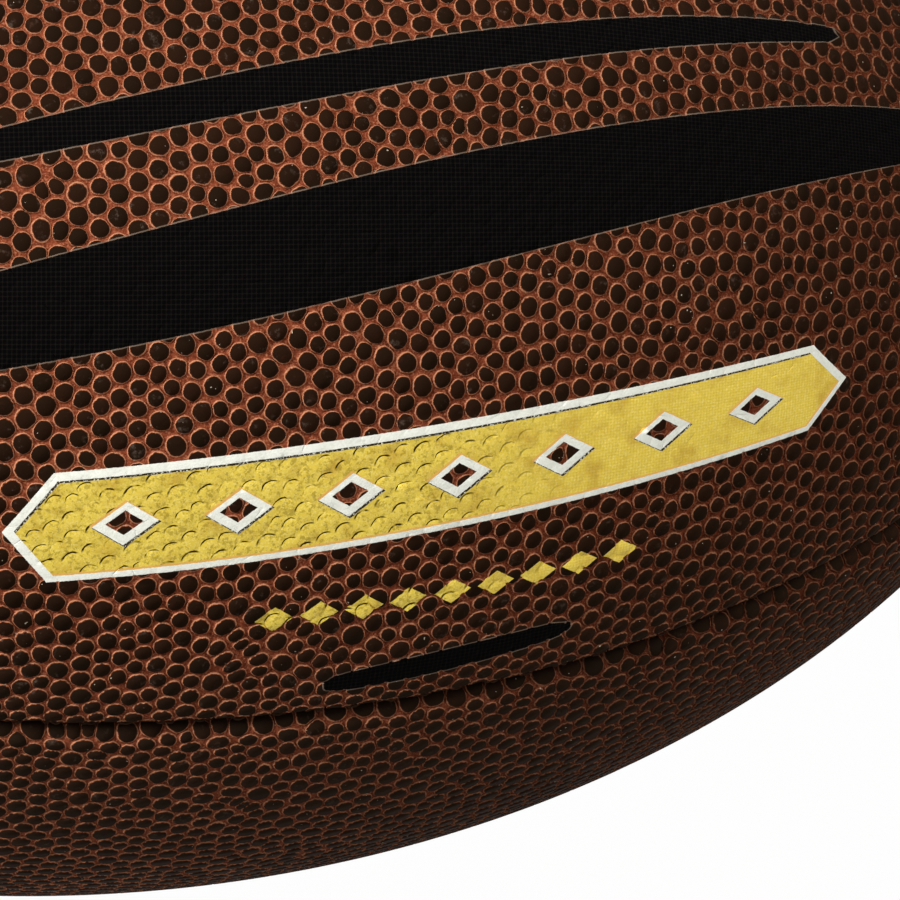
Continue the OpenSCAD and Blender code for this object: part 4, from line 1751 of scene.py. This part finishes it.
@dataclass(frozen=True)
class LeatherFinish(Finish):
    """Pebbled cover leather, with or without printing."""

    name: str = "cover_leather"
    top: str = "#1f140c"
    # Light colour painted round each top, partly a painted highlight of light glinting on the
    # pebbles' flanks
    rim: str = "#d0946e"
    valley: str = "#793b25"
    # Its raw inside
    flesh: str = "#9b7a58"
    film: str = "#070606"
    film_light: str = "#1a1715"
    film_edge: str = "#8a7766"
    gold: str = "#e0c44a"
    gold_light: str = "#ecd470"
    gold_dark: str = "#b0842c"
    # The foil's crackle, the painted shadow in the dark line beside it and in the arcs on its
    # pebbles, and where it laps over the white
    olive: str = "#8a7424"
    painted_shadow: str = "#2e2108"
    lap: str = "#e2a95c"
    keyline: str = "#f6f7ea"
    chalk_low: str = "#c9bda6"
    chalk_grit: str = "#b5ae98"
    decoration: Decoration | None = None
    gloss: float = 0.004
    grain_depth: float = 0.05 * MM
    # Line round the film, half the width in which an ink ends, and the foil's shift, in mm
    edge_line: float = 0.2
    sharp: float = 0.04
    foil_shift: tuple[float, float] = (0.22, -0.28)

    def parts(self, g: Graph, effects: Effects) -> Parts:
        """As in Finish."""
        given = {"Place": g.place(), "Disc": g.vector("disc")}
        colours = {"Top": self.top, "Rim": self.rim, "Valley": self.valley}
        leather = g.group(effects.pebbles, given | colours).outputs
        base = g.mix(g.number("raw"), leather["Color"], self.flesh)
        found = {"Base Color": base, "Roughness": leather["Roughness"]}
        height = leather["Height"]
        if self.decoration:
            found, height = self._printing(g, effects, leather, base)
        return found | {"Specular IOR Level": self.gloss}, height, self.grain_depth

    def _printing(
        self, g: Graph, effects: Effects, leather: bpy.types.bpy_prop_collection, base: Socket
    ) -> tuple[dict[str, Value], Socket]:
        """Adds the inks over the leather.

        Args:
            g: The material's graph.
            effects: The shared node groups.
            leather: Outputs of the leather's group.
            base: Colour of the leather.

        Returns:
            The shader's inputs by name, and the relief's height.
        """
        place, ribbon = g.place(), self.decoration.ribbon
        ragged = g.math("MULTIPLY_ADD", g.noise(place, 1900, 3, 0.6), 0.16, -0.08)
        black, gold, foil, small = (
            g.plus(ink, ragged)
            for ink in (
                g.number("black_ink"), ribbon.ink(g, effects),
                ribbon.ink(g, effects, self.foil_shift), self.decoration.chain.ink(g, effects),
            )
        )
        sharp, line, width = self.sharp, -self.edge_line, -self.decoration.keyline
        black_mask = g.step(black, -sharp, sharp)
        edge = g.minus(g.step(black, line, line + sharp), black_mask)
        under, over = g.step(gold, -sharp, sharp), g.step(foil, -sharp, sharp)
        white = g.step(gold, width - sharp, width + sharp)
        gap = g.math("SUBTRACT", under, over, clamp=True)
        lap = g.math("SUBTRACT", over, under, clamp=True)
        gold_mask = g.math("MAXIMUM", over, g.step(small, -sharp, sharp))
        wear = g.group(effects.wear, {"Place": place, "Scale": 260.0}).outputs
        metal = self._foil(g, effects, wear, ragged)
        metal = g.mix(g.times(lap, 0.85), metal, self.lap)
        low = g.times(g.rest(leather["Top Mask"]), 0.06)
        chalk = g.mix(low, self.keyline, self.chalk_low)
        grit = g.step(g.noise(place, 2400, 3, 0.7), 0.36, 0.56)
        chalk = g.mix(g.scaled(grit, 0.16, 0.0), chalk, self.chalk_grit)
        film, film_rough, film_height = self._film(g, effects)
        base = g.mix(g.times(edge, 0.55), base, self.film_edge)
        base = g.mix(black_mask, base, film)
        base = g.mix(white, base, chalk)
        base = g.mix(gold_mask, base, metal)
        # Painted shadow: a thin dark line where the shifted foil leaves the white bare on its upper
        # left side
        painted_shadow = g.times(gap, g.step(wear["Grain"], 0.3, 0.5))
        base = g.mix(painted_shadow, base, self.painted_shadow)
        rough = g.blend(black_mask, leather["Roughness"], film_rough)
        rough = g.blend(white, rough, 0.7)
        rough = g.blend(gold_mask, rough, g.scaled(wear["Grain"], 0.32, 0.5))
        height = g.blend(black_mask, leather["Height"], film_height)
        height = g.blend(g.math("MAXIMUM", white, gold_mask), height, wear["Grain"])
        metallic = g.times(gold_mask, 0.6)
        return {"Base Color": base, "Roughness": rough, "Metallic": metallic}, height

    def _film(self, g: Graph, effects: Effects) -> tuple[Socket, Socket, Socket]:
        """Colour, roughness and height of black film with a faint weave pressed into it."""
        weave = g.group(effects.weave, {"Place": g.vector("sheet"), "Pitch": 1.2}).outputs
        tone = g.mix(g.scaled(weave["Gaps"], 0.62, 0.0), self.film, self.film_light)
        return tone, g.scaled(weave["Gaps"], 0.75, 0.6), weave["Height"]

    def _foil(
        self, g: Graph, effects: Effects, wear: bpy.types.bpy_prop_collection, ragged: Socket
    ) -> Socket:
        """Gold foil, broken over the pebbles on the left, with painted shadow arcs there, and
        smooth on the right.

        Args:
            g: The material's graph.
            effects: The shared node groups.
            wear: Outputs of the wear's group.
            ragged: Small shift that makes edges uneven.

        Returns:
            Colour of the foil.
        """
        sheet, disc = g.vector("sheet"), g.vector("disc")
        decoration = self.decoration
        smooth = g.step(g.parts(sheet)[0], decoration.broken_to, decoration.smooth_from)
        not_smooth = g.rest(smooth)
        # Painted shadows: thin dark arcs at the pebbles' upper left edges
        far = g.far(disc)
        x, y, _ = g.parts(disc)
        arc = g.times(g.step(far, 0.99, 1.04), g.rest(g.step(far, 1.14, 1.22)))
        upper = g.minus(g.times(y, 0.85), g.times(x, 0.5))
        arc = g.times(arc, g.step(g.plus(upper, ragged), 0.45, 0.85))
        shadow_patches = g.times(g.step(g.noise(g.place(), 420, 2), 0.32, 0.46), not_smooth)
        foil = g.mix(g.step(wear["Grain"], 0.42, 0.7), self.gold, self.gold_light)
        mottled = g.times(g.step(wear["Tone"], 0.45, 0.8), 0.6)
        foil = g.mix(mottled, foil, self.gold_dark)
        weave = g.group(effects.weave, {"Place": sheet, "Pitch": 0.9}).outputs["Gaps"]
        woven = g.times(g.scaled(weave, 0.3, 0.0), smooth)
        foil = g.mix(woven, foil, self.gold_dark)
        crackle = g.step(g.noise(g.place(), 1500, 4, 0.75), 0.5, 0.6)
        crackle = g.times(crackle, g.times(not_smooth, 0.55))
        foil = g.mix(crackle, foil, self.olive)
        return g.mix(g.times(arc, shadow_patches), foil, self.painted_shadow)


@dataclass(frozen=True)
class ClothFinish(Finish):
    """Woven material with light threads, a pitch in millimetres apart, and dark gaps."""

    light: str
    dark: str
    pitch: float
    # Attribute that holds the flat place, or None for the piece's own space
    along: str | None = None
    rough: float = 0.8
    depth: float = 0.12 * MM

    def parts(self, g: Graph, effects: Effects) -> Parts:
        """As in Finish."""
        place = g.place()
        if self.along:
            flat = g.vector(self.along)
        else:
            flat = g.add("VectorMath", {0: place, "Scale": 1 / MM}, operation="SCALE").outputs[0]
        weave = g.group(effects.weave, {"Place": flat, "Pitch": self.pitch}).outputs
        wear = g.group(effects.wear, {"Place": place, "Scale": 90.0}).outputs
        base = g.mix(weave["Gaps"], self.dark, self.light)
        base = g.mix(g.scaled(wear["Tone"], 0.0, 0.35), base, self.dark)
        height = g.plus(weave["Height"], g.times(wear["Grain"], 0.4))
        rough = g.scaled(wear["Grain"], self.rough - 0.1, self.rough + 0.1)
        found = {"Base Color": base, "Roughness": rough, "Specular IOR Level": 0.25}
        return found, height, self.depth


@dataclass(frozen=True)
class RubberFinish(Finish):
    """Moulded rubber: the bladder, the valve and its core."""

    base: str
    wear_and_shade: str
    rough: float = 0.55
    depth: float = 0.03 * MM

    def parts(self, g: Graph, effects: Effects) -> Parts:
        """As in Finish."""
        wear = g.group(effects.wear, {"Place": g.place(), "Scale": 180.0}).outputs
        base = g.mix(g.scaled(wear["Tone"], 0.0, 0.6), self.base, self.wear_and_shade)
        rough = g.scaled(wear["Grain"], self.rough - 0.12, self.rough + 0.12)
        return {"Base Color": base, "Roughness": rough}, wear["Grain"], self.depth


@dataclass(frozen=True)
class ThreadFinish(Finish):
    """Twisted sewing thread: the colours of its stitches and of its dirt."""

    name: str = "sewing_thread"
    light: str = "#4c3222"
    middle: str = "#38241a"
    dark: str = "#1c120c"
    # Distance from strand to strand along it, in millimetres
    strand: float = 0.45
    depth: float = 0.05 * MM

    def parts(self, g: Graph, effects: Effects) -> Parts:
        """As in Finish."""
        wear = g.group(effects.wear, {"Place": g.place(), "Scale": 1400.0}).outputs
        strands = g.math("SINE", g.times(g.number("run"), TURN / self.strand))
        base = g.mix(g.number("tone"), self.light, self.middle)
        base = g.mix(g.scaled(wear["Tone"], 0.1, 0.7), base, self.dark)
        height = g.plus(g.times(strands, 0.3), wear["Grain"])
        rough = g.scaled(wear["Grain"], 0.65, 0.9)
        found = {"Base Color": base, "Roughness": rough, "Specular IOR Level": 0.05}
        return found, height, self.depth


# Assemblies


def dress(piece: Piece, material: bpy.types.Material) -> None:
    """Gives a piece its one material."""
    piece.data.materials.clear()
    piece.data.materials.append(material)


@dataclass
class Cover:
    """The four sewn panels and the threads of their seams."""

    seeds: tuple[int, ...] = (14, 12, 16, 17)

    def build(self, effects: Effects) -> None:
        """Builds and dresses panels and threads."""
        plain = LeatherFinish().material(effects)
        decoration = Decoration()
        printed = LeatherFinish("printed_leather", decoration=decoration).material(effects)
        valve = Hole(0.0, math.pi - math.radians(20), 3.8 * MM)
        ends = (-LACING.run_end, LACING.run_end)
        for quarter, seed in zip(Quarter, self.seeds):
            part = quarter.name.lower()
            top = quarter in (Quarter.TOP_BACK, Quarter.TOP_FRONT)
            holes = self._lace_holes(quarter) if top else ()
            if quarter is Quarter.BOTTOM_BACK:
                holes = (valve,)
            front = quarter is Quarter.TOP_FRONT
            panel = CoverPanel("cover_" + part, "panel_" + part, quarter, seed, holes)
            panel.seam_holes = ends if top else ()
            panel.decoration = decoration if front else None
            dress(panel.build(), printed if front else plain)
        thread = ThreadFinish().material(effects)
        for seam in Seam:
            part = seam.name.lower()
            dress(SeamThread("stitches_" + part, "seam_thread_" + part, seam).build(), thread)

    @staticmethod
    def _lace_holes(quarter: Quarter) -> tuple[Hole, ...]:
        """The row of lace holes in one of the two top panels."""
        side = 1 if quarter is Quarter.TOP_BACK else -1
        found = []
        for i in range(LACING.crosses):
            x = -LACING.cross_end + i * LACING.cross_pitch
            r = float(BALL.radius(np.array(BALL.station(x))))
            found.append(Hole(x, side * LACING.row_gap / 2 / r, LACING.hole_d / 2))
        return tuple(found)


@dataclass
class Lacing:
    """The lace, with the facings and the tongue below it."""

    lace: ClothFinish = ClothFinish("lace_webbing", "#efe9dc", "#a89c86", 0.8, "weave", 0.62)
    facing: ClothFinish = ClothFinish("facing_canvas", "#d9d0bd", "#9d9380", 1.2)
    tongue: ClothFinish = ClothFinish("tongue_canvas", "#5a5348", "#3a352e", 1.2)

    def build(self, effects: Effects) -> None:
        """Builds the lace and dresses what lies below it."""
        dress(Lace().build(), self.lace.material(effects))
        facing = self.facing.material(effects)
        dress(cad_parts["lace_facing_front"], facing)
        dress(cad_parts["lace_facing_back"], facing)
        dress(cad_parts["lace_tongue"], self.tongue.material(effects))


@dataclass
class Inside:
    """Linings, bladder and valve, which keep the solids' own shapes."""

    lining: ClothFinish = ClothFinish("lining_cloth", "#cbbd9d", "#8f8368", 1.4)
    patch: ClothFinish = ClothFinish("patch_cloth", "#b9ad93", "#7f745d", 1.0)
    bladder: RubberFinish = RubberFinish("bladder_rubber", "#222224", "#3a3a3c")
    valve: RubberFinish = RubberFinish("valve_rubber", "#18181a", "#303033", 0.5)
    core: RubberFinish = RubberFinish("core_rubber", "#7d3324", "#a5523c", 0.5)

    def build(self, effects: Effects) -> None:
        """Dresses the solids that stay."""
        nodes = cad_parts
        lining = self.lining.material(effects)
        for quarter in Quarter:
            dress(nodes["lining_" + quarter.name.lower()], lining)
        dress(nodes["bladder"], self.bladder.material(effects))
        dress(nodes["valve_body"], self.valve.material(effects))
        dress(nodes["valve_core"], self.core.material(effects))
        dress(nodes["valve_patch"], self.patch.material(effects))
        LOG.info("inside: linings, bladder and valve dressed")


@dataclass
class Studio:
    """Camera, lights, world and floor."""

    distance: float = 1.5
    lens: float = 457.8
    # Turns of the ball about its long axis and out of the picture, and the picture's tilt
    roll: float = math.radians(46.29)
    swing: float = math.radians(10.16)
    tilt: float = math.radians(0.75)
    # Where the camera looks, in the picture's own directions
    aim: tuple[float, float] = (52.59 * MM, -27.29 * MM)
    floor_drop: float = 0.3 * MM
    floor_size: float = 24.0
    # Share of white in the floor as it is seen, and strength of the light from all round
    floor_white: float = 0.985
    world_light: float = 0.345

    def axes(self) -> tuple[Vector, Vector, Vector]:
        """The picture's right, depth and up directions in the ball's frame."""
        turn = (
            Matrix.Rotation(-self.tilt, 3, "Y")
            @ Matrix.Rotation(self.swing, 3, "Z")
            @ Matrix.Rotation(self.roll, 3, "X")
        )
        return turn[0].copy(), turn[1].copy(), turn[2].copy()

    def build(self) -> None:
        """Builds everything round the ball."""
        self._camera()
        self._lights()
        self._world()
        self._floor()
        view = bpy.context.scene.view_settings
        view.view_transform = "Standard"

    def _camera(self) -> None:
        """The camera at the photograph's angle."""
        right, depth, up = self.axes()
        data = bpy.data.cameras.new("camera")
        data.lens = self.lens
        data.sensor_width = 36
        camera = bpy.data.objects.new("camera", data)
        bpy.context.scene.collection.objects.link(camera)
        look = (right * self.aim[0] + depth * self.distance + up * self.aim[1]).normalized()
        side = look.cross(up).normalized()
        top = side.cross(look)
        camera.matrix_world = Matrix.Translation(-depth * self.distance) @ Matrix(
            (side, top, -look)
        ).transposed().to_4x4()
        data.clip_start, data.clip_end = 0.05, 100
        bpy.context.scene.camera = camera

    def _lights(self) -> None:
        """A soft key from the left, a fill from the upper right and a weak light from behind."""
        right, depth, up = self.axes()
        lamps = (
            ("key", -0.7 * right - 0.75 * depth + 0.3 * up, 1.7, 0.7, 36.0),
            ("fill", 1.0 * right - 0.6 * depth + 0.75 * up, 2.0, 1.4, 23.0),
            ("rear", 0.3 * right + 0.8 * depth + 0.9 * up, 2.0, 1.2, 12.0),
        )
        for name, way, far, size, power in lamps:
            data = bpy.data.lights.new(name, "AREA")
            data.shape = "DISK"
            data.size = size
            data.energy = power
            lamp = bpy.data.objects.new(name, data)
            bpy.context.scene.collection.objects.link(lamp)
            way = Vector(way).normalized()
            lamp.location = way * far
            lamp.rotation_mode = "QUATERNION"
            lamp.rotation_quaternion = way.to_track_quat("Z", "Y")

    def _world(self) -> None:
        """White to the camera and in reflections, pale grey as a light."""
        world = bpy.data.worlds.new("studio")
        bpy.context.scene.world = world
        world.use_nodes = True
        world.node_tree.nodes.clear()
        g = Graph(world.node_tree)
        soft, white = (
            g.add("Background", {"Color": WHITE, "Strength": strength}).outputs[0]
            for strength in (self.world_light, 1.0)
        )
        mixed = g.add("MixShader", {0: g.seen_rays(), 1: soft, 2: white}).outputs[0]
        g.add("OutputWorld", {"Surface": mixed})

    def _floor(self) -> None:
        """A pale floor that keeps the ball's shadow and can't be seen from below."""
        half = self.floor_size / 2
        z = -BALL.half_d - self.floor_drop
        points = np.array([[-half, -half, z], [half, -half, z], [half, half, z], [-half, half, z]])
        floor = MeshData(points, np.array([[0, 1, 2], [0, 2, 3]])).to_object("floor", False)
        made, g = new_material("floor_paper")
        back = g.add("NewGeometry").outputs["Backfacing"]
        tone = g.mix(g.noise(g.place(), 900, 2), (0.24, 0.24, 0.24, 1), (0.28, 0.28, 0.28, 1))
        paper = g.add("BsdfDiffuse", {"Color": tone}).outputs[0]
        glow = g.add("Emission", {"Color": WHITE, "Strength": 1.0}).outputs[0]
        share = g.times(g.seen_rays(), self.floor_white)
        lit = g.add("MixShader", {0: share, 1: paper, 2: glow}).outputs[0]
        clear = g.add("BsdfTransparent").outputs[0]
        mixed = g.add("MixShader", {0: back, 1: lit, 2: clear}).outputs[0]
        g.add("OutputMaterial", {"Surface": mixed})
        dress(floor, made)


def main() -> None:
    """Builds the ball and the studio in order."""
    logging.basicConfig(level=logging.INFO, format="%(message)s", stream=sys.stdout)
    effects = Effects()
    Studio().build()
    Cover().build(effects)
    Lacing().build(effects)
    Inside().build(effects)


if __name__ == "__main__":
    main()
